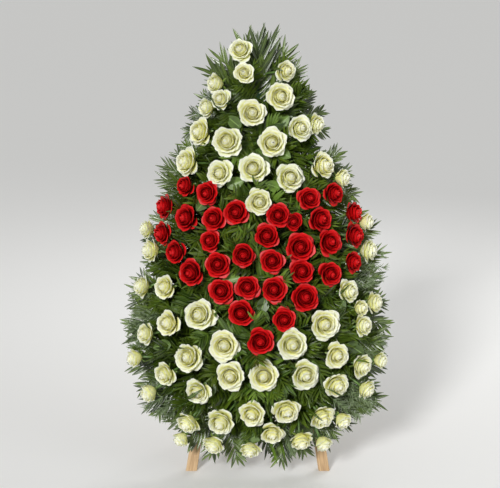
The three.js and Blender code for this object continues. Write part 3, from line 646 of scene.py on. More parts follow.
def petal_group():
    """A petal's colour: it runs from its base by its body to its rim, is turned to the heart's colour in the
    inner petals and in some whole heads by their tint, and is darkened by mottle. The base colour is partly
    the petal's own deeper tone at its foot and partly painted shade for the depth of the head, and the rim
    colour is partly the petal's own paler edge and partly a painted highlight."""
    shades = {"Heart": (1.0,) * 4, "Body": (1.0,) * 4, "Rim": (1.0,) * 4, "Base": (1.0,) * 4}
    tree, links, add, inlet, outlet = new_group("petal colour", shades, {"Color": "NodeSocketColor"})
    _, _, along = leaf_map(links, add)
    layer = add("ShaderNodeAttribute", attribute_name="layer")
    inner = add("ShaderNodeMapRange")
    inner.inputs["From Max"].default_value = 0.72
    inner.inputs["To Min"].default_value = 1
    inner.inputs["To Max"].default_value = 0
    links.new(layer.outputs["Fac"], inner.inputs["Value"])
    tint = add("ShaderNodeAttribute", attribute_name="tint")
    hearted = add("ShaderNodeMath", operation="MULTIPLY_ADD", use_clamp=True)
    hearted.inputs[1].default_value = 0.7
    links.new(tint.outputs["Fac"], hearted.inputs[0])
    links.new(inner.outputs["Result"], hearted.inputs[2])
    color = inlet["Body"]
    for source, mask, place in [
        (inlet["Heart"], hearted.outputs[0], None),
        # A painted highlight along the rim, partly the petal's own paler edge.
        (inlet["Rim"], along, [(0.72, 0.0), (0.93, 0.75), (1.0, 1.0)]),
        # Painted shade at the foot of each petal for the depth of the head, partly the petal's own deeper
        # colour there.
        (inlet["Base"], along, [(0.0, 1.0), (0.65, 0.6), (0.9, 0.0)]),
    ]:
        if place:
            curve = ramp(add, [(spot, (value, value, value, 1)) for spot, value in place])
            links.new(mask, curve.inputs["Fac"])
            mask = curve.outputs["Color"]
        mixed = add("ShaderNodeMix", data_type="RGBA")
        links.new(mask, mixed.inputs["Factor"])
        links.new(color, mixed.inputs["A"])
        links.new(source, mixed.inputs["B"])
        color = mixed.outputs["Result"]
    patches = add("ShaderNodeGroup", node_tree=mottle)
    shaded = add("ShaderNodeMix", data_type="RGBA", blend_type="MULTIPLY")
    shaded.inputs["Factor"].default_value = 0.45
    links.new(color, shaded.inputs["A"])
    links.new(patches.outputs["Shade"], shaded.inputs["B"])
    links.new(shaded.outputs["Result"], outlet["Color"])
    return tree


petal_shades = petal_group()


def petal_material(name, **shades):
    """A petal: the petal colour with the given shades, and fine ridges."""
    material, links, shader, add = new_material(name)
    color = add("ShaderNodeGroup", node_tree=petal_shades)
    for label, value in shades.items():
        color.inputs[label].default_value = value
    links.new(color.outputs["Color"], shader.inputs["Base Color"])
    fine = add("ShaderNodeGroup", node_tree=ridges)
    links.new(fine.outputs["Normal"], shader.inputs["Normal"])
    return material, shader


# The Base shades are painted shade at the petals' feet as well as their own deeper colour there, and the Rim
# shades are painted highlights as well as the petals' own paler edges.
white_petal, shader = petal_material(
    "ivory rose petal",
    Heart=(0.97, 0.93, 0.36, 1),
    Body=(0.93, 0.95, 0.56, 1),
    Rim=(0.96, 0.97, 0.84, 1),
    Base=(0.92, 0.90, 0.27, 1),
)
shader.inputs["Roughness"].default_value = 0.5
shader.inputs["Subsurface Weight"].default_value = 0.35
shader.inputs["Subsurface Radius"].default_value = (1.0, 0.85, 0.5)
shader.inputs["Subsurface Scale"].default_value = 0.006
red_petal, shader = petal_material(
    "scarlet rose petal",
    Heart=(0.40, 0.001, 0.004, 1),
    Body=(0.60, 0.002, 0.003, 1),
    Rim=(0.72, 0.010, 0.012, 1),
    Base=(0.13, 0.001, 0.002, 1),
)
shader.inputs["Roughness"].default_value = 0.42
shader.inputs["Specular IOR Level"].default_value = 0.3
shader.inputs["Subsurface Weight"].default_value = 0.15
shader.inputs["Subsurface Radius"].default_value = (1.0, 0.1, 0.05)
shader.inputs["Subsurface Scale"].default_value = 0.004

RUFFLE = {"white": 1.0, "red": 0.55}
HALF_OPEN = 0.55
HALF_OPEN_SPREAD = 1.16
green_ends = {"white": [], "red": []}
for colour, bunches, petal, seed in [
    ("white", WHITE_BUNCHES, white_petal, 11),
    ("red", RED_BUNCHES, red_petal, 23),
]:
    for number, bunch in enumerate(bunches):
        node = f"roses_{colour}_{number + 1:02d}"
        inner_end, _ = stub_of(node)
        way = stub_way(inner_end)
        foot = inner_end + way * (STUB_LENGTH - STEM_SUNK)
        chance = dice(seed * 1000 + number)
        layers = []
        tints = []
        grids = []
        for x, z, head_width in bunch:
            centre, axis = bloom_pose(x, z, chance)
            turn = 2 * math.pi * next(chance)
            small = head_width < BUD_WIDTH
            radius = head_width / 2 * PETAL_SPREAD * (HALF_OPEN_SPREAD if small else 1)
            base = centre - axis * radius * BLOOM_MIDDLE
            u, v = square_to(axis)
            side = u * math.cos(turn) + v * math.sin(turn)
            own_chance = dice(int(x * 31 + z * 17 + 100000))
            opened = HALF_OPEN if small else mix(0.86, 1.0, next(own_chance))
            shape, t = rose_petals(radius, opened, RUFFLE[colour], own_chance)
            grids.append(base + shape @ np.stack([side, np.cross(axis, side), axis]))
            layers.append(t)
            tints.append(t * 0 + next(own_chance) ** 2)
            blooms.append((centre, axis, radius))
            green_ends[colour].append((base, axis, radius, foot, inner_end))
        marks = {"layer": np.concatenate(layers), "tint": np.concatenate(tints)}
        piece = thin_sheets("petals_" + node[6:], np.concatenate(grids), PETAL_THICKNESS, petal, marks)
        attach(piece, "root")
        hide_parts(node)

bloom_centres = np.array([b[0] for b in blooms])
bloom_radii = np.array([b[2] for b in blooms])


# The rose stems and sepals: each head sits on a swollen green cup with five narrow sepals that fold back, and
# a stem runs from it down into the foam.
STEM_RADII = (2.3, 2.9)
ROOT_RADII = (3.6, 4.2)
CUP_RADII = (3.4, 7.5)
STEM_BOW = 2.5
LEAFLET_THICKNESS = 0.6


def tubes(starts, ends, radii, bow, sides, rings):
    """Round stems as grids (stem, along, round): straight from start to end, with a bow by a parabola. The
    radii at the start and at the end, and the bow, are each one for all stems or one for each stem."""
    s = np.linspace(0, 1, rings)[None, :, None]
    angle = np.linspace(0, 2 * np.pi, sides + 1)[None, None, :]
    line = starts[:, None, None] + (ends - starts)[:, None, None] * s[..., None]
    line = line + np.broadcast_to(bow, starts.shape)[:, None, None] * (4 * s * (1 - s))[..., None]
    axis = unit(ends - starts)
    u = unit(np.cross(axis, [0.31, 0.05, 0.95]))
    v = np.cross(axis, u)
    first, last = (np.broadcast_to(radius, len(starts))[:, None, None] for radius in radii)
    radius = mix(first, last, s)
    ring = u[:, None, None] * np.cos(angle)[..., None] + v[:, None, None] * np.sin(angle)[..., None]
    return line + ring * radius[..., None]


def tube_piece(name, grids, material):
    """Closed round stems: the first and last columns are one, and a fan at its middle closes each end."""
    count, rings, columns = grids.shape[:3]
    sides = columns - 1
    body = grids[:, :, :-1]
    caps = np.stack([body[:, 0].mean(axis=1), body[:, -1].mean(axis=1)], axis=1)
    points = np.concatenate([body.reshape(count, -1, 3), caps], axis=1).reshape(-1, 3)
    k = np.arange(sides)
    after = (k + 1) % sides
    rows = np.arange(rings - 1)[:, None] * sides
    walls = np.stack([rows + k, rows + after, rows + after + sides, rows + k + sides], axis=-1).reshape(-1, 4)
    last = (rings - 1) * sides
    low = np.stack([after, k, np.full(sides, rings * sides)], axis=-1)
    high = np.stack([last + k, last + after, np.full(sides, rings * sides + 1)], axis=-1)
    per = rings * sides + 2
    shift = per * np.arange(count)[:, None, None]
    four = (walls[None] + shift).reshape(-1, 4)
    three = (np.concatenate([low, high])[None] + shift).reshape(-1, 3)
    return smooth_body(name, points, [four, three], material)


def leaf_group():
    """A leaf's colour: from dark to light by its own chance value and by mottle, with a pale midrib."""
    shades = {"Dark": (1.0,) * 4, "Light": (1.0,) * 4, "Vein": (1.0,) * 4}
    tree, links, add, inlet, outlet = new_group("leaf colour", shades, {"Color": "NodeSocketColor"})
    own = add("ShaderNodeAttribute", attribute_name="chance")
    patches = add("ShaderNodeGroup", node_tree=mottle)
    patches.inputs["Scale"].default_value = 45
    patches.inputs["Lowest"].default_value = 0.35
    amount = add("ShaderNodeMath", operation="MULTIPLY", use_clamp=True)
    links.new(own.outputs["Fac"], amount.inputs[0])
    links.new(patches.outputs["Shade"], amount.inputs[1])
    tone = add("ShaderNodeMix", data_type="RGBA")
    links.new(amount.outputs[0], tone.inputs["Factor"])
    links.new(inlet["Dark"], tone.inputs["A"])
    links.new(inlet["Light"], tone.inputs["B"])
    _, across, _ = leaf_map(links, add)
    rib = ramp(add, [(0.44, (0, 0, 0, 1)), (0.5, (1, 1, 1, 1)), (0.56, (0, 0, 0, 1))])
    links.new(across, rib.inputs["Fac"])
    ribbed = add("ShaderNodeMix", data_type="RGBA")
    links.new(rib.outputs["Color"], ribbed.inputs["Factor"])
    links.new(tone.outputs["Result"], ribbed.inputs["A"])
    links.new(inlet["Vein"], ribbed.inputs["B"])
    links.new(ribbed.outputs["Result"], outlet["Color"])
    return tree


leaf_shades = leaf_group()


def leaf_material(name, dark, light, vein, gloss):
    """A leaf: the leaf colour with its three shades under a waxy coat, with fine ridges along it."""
    material, links, shader, add = new_material(name)
    color = add("ShaderNodeGroup", node_tree=leaf_shades)
    for label, value in [("Dark", dark), ("Light", light), ("Vein", vein)]:
        color.inputs[label].default_value = value
    links.new(color.outputs["Color"], shader.inputs["Base Color"])
    fine = add("ShaderNodeGroup", node_tree=ridges)
    fine.inputs["Across"].default_value = 18
    fine.inputs["Along"].default_value = 0.8
    links.new(fine.outputs["Normal"], shader.inputs["Normal"])
    shader.inputs["Roughness"].default_value = gloss
    shader.inputs["Coat Weight"].default_value = 0.3
    shader.inputs["Coat Roughness"].default_value = 0.2
    return material


def stem_green():
    """Stem: mid green with darker, slightly red patches from wide noise."""
    material, links, shader, add = new_material("rose stem")
    where = add("ShaderNodeTexCoord")
    patches = add("ShaderNodeTexNoise", Scale=55, Detail=4)
    links.new(where.outputs["Object"], patches.inputs["Vector"])
    tone = ramp(
        add,
        [(0.3, (0.05, 0.085, 0.02, 1)), (0.55, (0.10, 0.19, 0.04, 1)), (0.75, (0.16, 0.28, 0.07, 1))],
    )
    links.new(patches.outputs["Fac"], tone.inputs["Fac"])
    links.new(tone.outputs["Color"], shader.inputs["Base Color"])
    shader.inputs["Roughness"].default_value = 0.45
    bump_from(links, add, shader.inputs["Normal"], patches.outputs["Fac"], 0.3, 0.001)
    return material


def sepals(ends):
    """Five sepals to a head: narrow pointed blades that start at the neck, follow the cup and fold back."""
    base = np.array([e[0] for e in ends])[:, None, None, None]
    axis = np.array([e[1] for e in ends])
    radius = np.array([e[2] for e in ends])[:, None, None, None]
    u = unit(np.array([0, 0, 1.0]) - axis * axis[:, 2:])
    v = np.cross(axis, u)
    k = np.arange(5)[None, :, None, None] * 2 * np.pi / 5 + 0.3 * np.arange(len(ends))[:, None, None, None]
    s = np.linspace(0, 1, 6)[None, None, :, None]
    w = np.linspace(-1, 1, 3)[None, None, None, :]
    reach = 0.10 + 0.62 * np.sin(1.5 * s) ** 1.3
    height = 0.06 + 0.30 * s - 0.38 * s ** 2.5 + 0.03 * w ** 2
    half = 0.13 * (1 - s) ** 0.8 * (0.5 + 1.4 * s)
    out = np.cos(k)[..., None] * u[:, None, None, None] + np.sin(k)[..., None] * v[:, None, None, None]
    side = -np.sin(k)[..., None] * u[:, None, None, None] + np.cos(k)[..., None] * v[:, None, None, None]
    scale = radius[..., None]
    raised = axis[:, None, None, None] * height[..., None]
    grid = base + scale * (out * reach[..., None] + raised + side * (half * w)[..., None])
    return grid.reshape(-1, 6, 3, 3)


stem_material = stem_green()
sepal_material = leaf_material(
    "sepal",
    dark=(0.06, 0.11, 0.012, 1),
    light=(0.18, 0.27, 0.04, 1),
    vein=(0.15, 0.24, 0.05, 1),
    gloss=0.5,
)
for colour, ends in green_ends.items():
    base = np.array([e[0] for e in ends])
    axis = np.array([e[1] for e in ends])
    foot = np.array([e[3] for e in ends])
    inner_end = np.array([e[4] for e in ends])
    bow = unit(np.cross(axis, base - foot) + [0.01, 0, 0]) * STEM_BOW
    stems = tubes(foot, base + axis * 4, STEM_RADII, bow, 8, 6)
    roots = tubes(inner_end, foot + unit(foot - inner_end) * 2, ROOT_RADII, 0, 8, 6)
    cups = tubes(base - axis * 3, base + axis * 8, CUP_RADII, 0, 8, 6)
    piece = tube_piece("stems_" + colour, np.concatenate([stems, roots, cups]), stem_material)
    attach(piece, "root")
    blades = sepals(ends)
    chance_of = np.random.default_rng(5).uniform(0, 1, (len(blades), 1, 1))
    piece = thin_sheets("sepals_" + colour, blades, LEAFLET_THICKNESS, sepal_material, {"chance": chance_of})
    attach(piece, "root")


# The palm fronds round the rim: parlour palm, pushed sideways into the foam in bunches of three. Long narrow
# leaflets stand in two ranks on an arched rib and point forward, and they are glossy and dark.
FROND_BUNCHES = 13
FRONDS_PER_BUNCH = 3
FROND_OVERHANG = 12
FROND_BEND = 6
FROND_DEPTHS = {"front": 27, "back": 11}
STALK_INSIDE = 28
STALK_OUTSIDE = 14
RIB_RADII = (1.7, 0.5)
STALK_RADII = (4, 2.5)
TOP_ARC = 0.12


def leaflets_of(
    root, out, across, over, length, bend, pairs, seed, droop=0.18, slim=1.0, long=1.0, close=0.0
):
    """Leaflets of one frond as grids. The rib is a parabola that starts along out and bends away from over.
    Leaflet k of a side starts at an even step along it, is shorter the further out it is, and stands off the
    rib by about forty-six degrees at the foot and twenty-nine at the tip, less the angle close. Its midrib is
    its lowest line, and it droops by a square. One more leaflet ends the rib."""
    rng = np.random.default_rng(seed)
    steps = np.repeat(np.arange(pairs), 2)
    hand = np.tile([-1.0, 1.0], pairs)
    t = steps / (pairs - 1)
    start = length * mix(0.13, 0.78, t) + rng.uniform(-1, 1, 2 * pairs) * length * 0.012
    size = length * long * mix(0.50, 0.30, t) * rng.uniform(0.88, 1.08, 2 * pairs)
    angle = mix(0.80, 0.50, t) - close + rng.uniform(-0.10, 0.10, 2 * pairs)
    start = np.append(start, length * 0.76)
    size = np.append(size, length * 0.24)
    angle = np.append(angle, 0.0)
    hand = np.append(hand, 1.0)
    rib = root + out * start[:, None] - over * (bend * (start / length) ** 2)[:, None]
    slope = unit(out - over * (2 * bend * start / length ** 2)[:, None])
    heading = slope * np.cos(angle)[:, None] + across * (hand * np.sin(angle))[:, None]
    heading = unit(heading + over * rng.uniform(-0.14, 0.22, len(start))[:, None])
    side = unit(np.cross(heading, over))
    up = np.cross(side, heading)
    v = np.linspace(0, 1, 7)[None, :, None]
    u = np.linspace(-1, 1, 3)[None, None, :]
    half = (size * 0.088 * slim)[:, None, None] * (np.sin(np.pi * (0.05 + 0.945 * v) ** 0.85) ** 0.8 + 0.02)
    sag = (size * droop * rng.uniform(0.5, 1.4, len(start)))[:, None, None] * v ** 2
    fold = half * 0.35 * (1 - np.abs(u))
    along = size[:, None, None] * v
    grid = (
        rib[:, None, None]
        + heading[:, None, None] * (along + 0 * u)[..., None]
        + side[:, None, None] * (half * u)[..., None]
        + up[:, None, None] * (-sag - fold + 0 * u)[..., None]
    )
    return grid


def rib_of(root, out, over, length, bend):
    """Start, end and bow of a frond's rib, for a thin tapering stem."""
    end = root + out * length * 0.86 - over * bend * 0.74
    return root - out * 12, end, over * bend * 0.2


def rim_station(share):
    """A spot of the foam's rim at a share of its length, from the foot round by the right, and the way out
    there. Half of the rim is the low arc, the side and the arc of the top, and the rest mirrors it."""
    samples = 720
    place = np.linspace(0, 4, samples + 1)
    mirror = np.where(place > 2, -1, 1)
    t = np.where(place > 2, 4 - place, place)
    rise = (t - 1) * (1 + TOP_ARC)
    side_spine = np.where(rise < 1, mix(HEART_OF_TEAR, FOAM["top"], rise), FOAM["top"])
    spine = np.where(t < 1, HEART_OF_TEAR, side_spine)
    high_angle = np.where(rise < 1, 0, (np.pi / 2) * ((rise - 1) / TOP_ARC))
    angle = np.where(t < 1, (-np.pi / 2) * (1 - t), high_angle)
    reach = place_in(FOAM, 0 * spine, spine)[2]
    line = np.stack([mirror * reach * np.cos(angle), 0 * t, spine + reach * np.sin(angle)], axis=-1)
    lengths = np.concatenate([[0], np.cumsum(np.linalg.norm(np.diff(line, axis=0), axis=1))])
    index = min(samples - 1, max(1, int(np.argmax(lengths >= share * lengths[-1]))))
    along = unit(line[index + 1] - line[index - 1])
    return line[index], np.array([along[2], 0, -along[0]])


def turned(vector, axis, angle):
    """A vector turned about a unit axis."""
    return (
        vector * math.cos(angle)
        + np.cross(axis, vector) * math.sin(angle)
        + axis * (axis @ vector) * (1 - math.cos(angle))
    )


palm_leaf = leaf_material(
    "palm leaflet",
    dark=(0.006, 0.019, 0.001, 1),
    light=(0.135, 0.215, 0.014, 1),
    vein=(0.18, 0.26, 0.04, 1),
    gloss=0.3,
)
for number in range(FROND_BUNCHES):
    chance = dice(500 + number)
    point, out = rim_station((number + 0.5) / FROND_BUNCHES)
    front = number % 2 == 0
    point = point + FRONT * FROND_DEPTHS["front" if front else "back"]
    across = np.cross(FRONT, out)
    room = place_in(RIM, 0.0, point[2])[2] - place_in(FOAM, 0.0, point[2])[2] + FROND_OVERHANG
    leaves = []
    ribs = []
    for k in range(FRONDS_PER_BUNCH):
        fan = (k - 1) * mix(0.5, 0.62, next(chance))
        way = turned(out, FRONT, fan)
        side = turned(across, FRONT, fan)
        length = room * mix(0.95, 1.08, next(chance)) * (1 if k == 1 else 1.08)
        slope = (0.25 if k == 1 else 1) * (0.13 if front else -0.05)
        lifted = unit(way + FRONT * slope)
        root = point + way * 8
        leaves.append(leaflets_of(root, lifted, side, FRONT, length, FROND_BEND, 9, number * 10 + k))
        ribs.append(rib_of(root, lifted, FRONT, length, FROND_BEND))
    grids = np.concatenate(leaves)
    marks = {"chance": np.random.default_rng(number).uniform(0, 1, (len(grids), 1, 1))}
    piece = thin_sheets(f"palm_leaflets_{number + 1:02d}", grids, LEAFLET_THICKNESS, palm_leaf, marks)
    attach(piece, "root")
    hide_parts(f"palm_fronds_{number + 1:02d}")
    starts, ends, bow = (np.array(part) for part in zip(*ribs))
    starts = np.concatenate([starts, [point - out * STALK_INSIDE]])
    ends = np.concatenate([ends, [point + out * STALK_OUTSIDE]])
    bow = np.concatenate([bow, [FRONT * 0]])
    radii = np.array([RIB_RADII] * len(ribs) + [STALK_RADII]).T
    rib_grids = tubes(starts, ends, radii, bow, 6, 6)
    piece = tube_piece(f"palm_ribs_{number + 1:02d}", rib_grids, stem_material)
    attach(piece, "root")


# The greens between the blooms: fronds and long blades that rise from the foam. The frame's sprays give where
# each one starts and where its leaves end, so each long leaf runs from the spray's root to one of those ends.
SPRAYS = 8
LEAF_SPREAD = 0.36
SHORTEST_LEAF = 60
FRONDS_PER_SPRAY = 3
SPRAY_BEND = -8
SPRAY_SUNK = 6
SPRAY_MARGIN = 0.86
STUB_RADII = (3.8, 3)
BLADE_THICKNESS = 0.7


def leaf_ends(points, hub):
    """The ways from the hub to its farthest point, then to the farthest outside a cone round the ways already
    taken, and so on down to the shortest leaf."""
    ways = []
    left = points - hub
    while len(left):
        distance = np.linalg.norm(left, axis=1)
        if distance.max() < SHORTEST_LEAF:
            break
        best = left[distance.argmax()]
        ways.append(best)
        left = left[(unit(left) @ unit(best)) < math.cos(LEAF_SPREAD)]
    return ways


def facing(ways):
    """For each way, the direction square to it that is nearest to the front."""
    return unit(FRONT - ways * (ways @ FRONT)[..., None])


def clear_of_heads(grids, margin):
    """True for each sheet that lies outside a ball round every head, of its radius times the margin. Every
    second point of a sheet is tested."""
    points = grids.reshape(len(grids), -1, 3)[:, ::2]
    keep = np.ones(len(grids), dtype=bool)
    for centre, radius in zip(bloom_centres, bloom_radii):
        keep &= (np.linalg.norm(points - centre, axis=-1) > radius * margin).all(axis=1)
    return keep


def blades_of(roots, ways, overs, lengths, half_widths, droop, rows):
    """Long pointed blades as grids: straight along their way at first, then sagging away from over by a
    square, and widest at about two fifths of their length. The midrib is the lowest line."""
    sides = unit(np.cross(ways, overs))
    ups = np.cross(sides, ways)
    v = np.linspace(0, 1, rows)[None, :, None]
    u = np.linspace(-1, 1, 3)[None, None, :]
    half = half_widths[:, None, None] * (np.sin(np.pi * (0.04 + 0.94 * v) ** 0.75) ** 0.85 + 0.02)
    lift = -(lengths * droop)[:, None, None] * v ** 2 - half * 0.3 * (1 - np.abs(u))
    return (
        roots[:, None, None]
        + ways[:, None, None] * (lengths[:, None, None] * v + 0 * u)[..., None]
        + sides[:, None, None] * (half * u)[..., None]
        + ups[:, None, None] * lift[..., None]
    )


spray_leaf = leaf_material(
    "long blade",
    dark=(0.018, 0.045, 0.003, 1),
    light=(0.17, 0.29, 0.03, 1),
    vein=(0.22, 0.34, 0.08, 1),
    gloss=0.3,
)
for number in range(SPRAYS):
    node = f"greens_spray_{number + 1:02d}"
    inner_end, points = stub_of(node)
    hub = inner_end + stub_way(inner_end) * (STUB_LENGTH - SPRAY_SUNK)
    ways = np.array(leaf_ends(points, hub))
    lengths = np.linalg.norm(ways, axis=1)
    heads = unit(ways)
    overs = facing(heads)
    leafy = slice(FRONDS_PER_SPRAY)
    bare = slice(FRONDS_PER_SPRAY, None)
    fronds = []
    for k, (way, over, length) in enumerate(zip(heads[leafy], overs[leafy], lengths[leafy])):
        seed_of = 70 + number * 10 + k
        side = np.cross(way, over)
        fronds.append(leaflets_of(hub, way, side, over, length, SPRAY_BEND, 8, seed_of, slim=1.1))
    rest = heads[bare]
    spread = np.random.default_rng(300 + number)
    half_widths = spread.uniform(7, 10, len(rest))
    blades = blades_of(hub + 0 * rest, rest, overs[bare], lengths[bare], half_widths, 0.03, 7)
    grids = np.concatenate(fronds + [blades])
    grids = grids[clear_of_heads(grids, SPRAY_MARGIN)]
    marks = {"chance": spread.uniform(0, 1, (len(grids), 1, 1))}
    piece = thin_sheets(f"spray_leaves_{number + 1:02d}", grids, BLADE_THICKNESS, spray_leaf, marks)
    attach(piece, "root")
    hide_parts(node)
    starts = np.concatenate([[inner_end], hub + 0 * heads[leafy]])
    ends = np.concatenate([[hub], hub + ways[leafy] * 0.84])
    radii = np.array([STUB_RADII] + [RIB_RADII] * FRONDS_PER_SPRAY).T
    stalks = tubes(starts, ends, radii, 0, 6, 5)
    piece = tube_piece(f"spray_stalks_{number + 1:02d}", stalks, stem_material)
    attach(piece, "root")


# The filling fronds: smaller pieces of palm pushed in all over the foam between the blooms. A first layer
# lies nearly flat and hides the foam. The second rises at a slant to the level of the heads, so that dark
# leaflets show in every gap.
FOAM_EDGE = 40
FOAM_RISE = 50
FILL_BEND = 18
FOOT_SUNK = 6
LAYER_MARGIN = 0.9
FILL_RIB_RADII = (1.6, 0.5)


def foam_depth(share):
    """The foam's front: a dome that falls off with the square of the share of the reach."""
    return FOAM_EDGE + FOAM_RISE * (1 - np.minimum(1, share) ** 2)


def head_depth(x, z):
    """How far the blooms' middles stand out at a place: the dome that carries them."""
    share = min(1, float(place_in(RIM, x, z)[1]))
    return BLOOM_EDGE_DEPTH + BLOOM_DOME * math.sqrt(1 - share ** 2)


def scattered(tear, spacing, most, rng):
    """A triangular grid of places over a tear, each moved by chance, with their ways out and shares."""
    row, column = np.meshgrid(np.arange(70), np.arange(-24, 25), indexing="ij")
    x = ((column + 0.5 * (row % 2)) * spacing).ravel() + rng.uniform(-0.3, 0.3, row.size) * spacing
    z = (row * spacing * 0.866).ravel() + rng.uniform(-0.3, 0.3, row.size) * spacing
    out, share, _ = place_in(tear, x, z)
    inside = share < most
    return x[inside], z[inside], out[inside], share[inside]


def leaf_layer(name, fronds, ribs, rng):
    """One layer of fronds made from their leaflets and ribs, without what would stand inside a head. Each
    frond's tone is partly its own random tone and partly painted light and shade, some fronds lit and some
    dark.
    """
    grids = np.concatenate(fronds)
    # One tone for a whole frond: partly random tone, partly painted light and shade for fronds that are lit
    # or in shadow.
    frond_painted_light_and_tone = np.concatenate([np.full(len(frond), rng.uniform(0, 0.75) ** 1.3) for frond in fronds])
    tone = (frond_painted_light_and_tone + rng.uniform(0, 0.3, len(grids)))[:, None, None]
    keep = clear_of_heads(grids, LAYER_MARGIN)
    marks = {"chance": tone[keep]}
    piece = thin_sheets(name + "_leaflets", grids[keep], LEAFLET_THICKNESS, palm_leaf, marks)
    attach(piece, "root")
    starts, ends, bow = (np.array(part) for part in zip(*ribs))
    stalks = tubes(starts, ends, FILL_RIB_RADII, bow, 5, 4)
    piece = tube_piece(name + "_ribs", stalks[clear_of_heads(stalks, LAYER_MARGIN)], stem_material)
    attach(piece, "root")


for name, spacing, seed in [("low_fill", 29, 43), ("high_fill", 31, 41)]:
    rng = np.random.default_rng(seed)
    fronds = []
    ribs = []
    for x, z, out, share in zip(*scattered(FOAM, spacing, 0.98, rng)):
        start = np.array([x, -foam_depth(share) + FOOT_SUNK, z])
        heading = rng.uniform(0, 2 * math.pi)
        flat = unit(np.array([math.cos(heading), 0, math.sin(heading)]) * 1.01 + out * (0.2 + 1.4 * share))
        if name == "low_fill":
            aim = unit(flat + FRONT * rng.uniform(0.15, 0.5))
            length = rng.uniform(66, 92)
            pairs = 5
        else:
            rise = max(30, head_depth(x, z) - foam_depth(share) - rng.uniform(4, 30))
            aim = unit(flat * rng.uniform(40, 80) + FRONT * rise)
            length = rng.uniform(95, 135)
            pairs = 8
        over = facing(aim)
        seed_of = int(rng.integers(1e9))
        side = np.cross(aim, over)
        fronds.append(leaflets_of(start, aim, side, over, length, FILL_BEND, pairs, seed_of, slim=0.95))
        ribs.append(rib_of(start, aim, over, length, FILL_BEND))
    leaf_layer(name, fronds, ribs, rng)


# The long fronds: they fan out from the top of the foam behind the highest blooms, and reach past the others
# at the sides and, one of them, at the foot. Each entry gives the place of a frond's foot and of its tip,
# across and up.
LONG_FRONDS = [
    [[8, 922], [34, 1096]], [[0, 925], [0, 1096]], [[-10, 922], [-36, 1090]],
    [[-20, 915], [-132, 1008]], [[-24, 910], [-100, 1046]], [[22, 915], [108, 1010]],
    [[14, 925], [78, 1062]], [[-90, 800], [-170, 868]], [[-140, 700], [-242, 762]],
    [[-145, 690], [-250, 728]], [[-200, 430], [-322, 440]], [[-190, 340], [-326, 322]],
    [[-190, 300], [-318, 280]], [[-180, 200], [-290, 142]], [[190, 180], [316, 156]],
    [[175, 160], [288, 138]], [[160, 130], [240, 92]], [[140, 120], [204, 66]],
    [[205, 420], [322, 402]], [[215, 500], [322, 540]], [[-140, 140], [-226, 96]],
    [[160, 640], [240, 690]], [[190, 560], [300, 600]], [[200, 300], [326, 330]], [[15, 110], [28, 20]],
]
LONG_BEND = 8
LONG_SHAPE = {"droop": 0.06, "slim": 0.75, "long": 1.25, "close": 0.16}
rng = np.random.default_rng(7)
fronds = []
ribs = []
for (foot_x, foot_z), (tip_x, tip_z) in LONG_FRONDS:
    depth = foam_depth(float(place_in(FOAM, float(foot_x), float(foot_z))[1]))
    start = np.array([foot_x, FOOT_SUNK - depth, foot_z])
    way = np.array([tip_x, -depth - rng.uniform(2, 26), tip_z]) - start
    length = np.linalg.norm(way)
    aim = way / length
    over = facing(aim)
    seed_of = int(rng.integers(1e9))
    side = np.cross(aim, over)
    fronds.append(leaflets_of(start, aim, side, over, length, LONG_BEND, 7, seed_of, **LONG_SHAPE))
    ribs.append(rib_of(start, aim, over, length, LONG_BEND))
leaf_layer("long_fronds", fronds, ribs, rng)


# The outer fringe: more palm between the bunches of the rim and in front of them, so the outline is a close
# row of leaf tips, as in the photograph. Each of its three layers gives its depth before the board, its tilt
# to the viewer and how far past the rim it reaches.
FRINGE = 74
FRINGE_LAYERS = [(12, -0.06, 12), (22, 0.22, 8), (34, 0.62, 0)]
FRINGE_BEND = 10
HELD_IN = 0.62
fringe = []
fringe_ribs = []
rng = np.random.default_rng(97)
for number in range(FRINGE):
    point, out = rim_station((number + rng.uniform(0.2, 0.8)) / FRINGE)
    depth, tilt, past = FRINGE_LAYERS[number % len(FRINGE_LAYERS)]
    point = point + FRONT * depth
    tilt += rng.uniform(-0.06, 0.06)
    way = turned(out, FRONT, rng.uniform(-0.5, 0.5))
    aim = unit(way + FRONT * tilt)
    over = facing(aim)
    room = place_in(RIM, 0.0, point[2])[2] - place_in(FOAM, 0.0, point[2])[2]
    at_foot = point[2] < 125
    high_left = point[0] < -40 and point[2] > 930
    high_right = point[0] > 30 and point[2] > 760
    held = HELD_IN if at_foot or high_left or high_right else 1
    length = (room + past) * rng.uniform(0.85, 1.05) * held
    root = point - aim * 2
    side = np.cross(aim, over)
    fringe.append(leaflets_of(root, aim, side, over, length, FRINGE_BEND, 8, 4000 + number))
    fringe_ribs.append(rib_of(root, aim, over, length, FRINGE_BEND))
leaf_layer("fringe", fringe, fringe_ribs, rng)


# Single leaves among the blooms: broad rose and lemon leaves, some bright and some dark, each on its own thin
# stalk. An entry gives the leaf's middle across and up, its length, the way its tip points in degrees from
# the right, and how bright it is from 0 to 1.
BROAD_LEAVES = [
    [-57, 707, 46, 20, 0.9], [-37, 582, 50, 65, 0.25], [-67, 467, 44, 12, 1.0],
    [245, 292, 50, -35, 0.3], [-12, 70, 44, 200, 0.8], [38, 700, 40, 160, 0.9], [62, 782, 44, -30, 0.6],
    [-140, 655, 42, 230, 0.4], [12, 400, 44, 250, 0.35], [78, 340, 40, 120, 0.5],
    [-5, 350, 42, 80, 0.35], [205, 395, 46, 60, 0.4], [-240, 300, 44, 190, 0.5],
    [140, 240, 46, 100, 0.4], [-120, 190, 44, 260, 0.35], [58, 175, 44, 70, 0.45],
    [-60, 860, 44, 140, 0.5], [60, 860, 46, 40, 0.85], [128, 700, 44, 90, 0.5],
    [-200, 400, 44, 20, 0.4],
]
HALF_OF_LENGTH = 0.34
BELOW_HEADS = 22
BROAD_STALK_RADII = (1.6, 0.9)
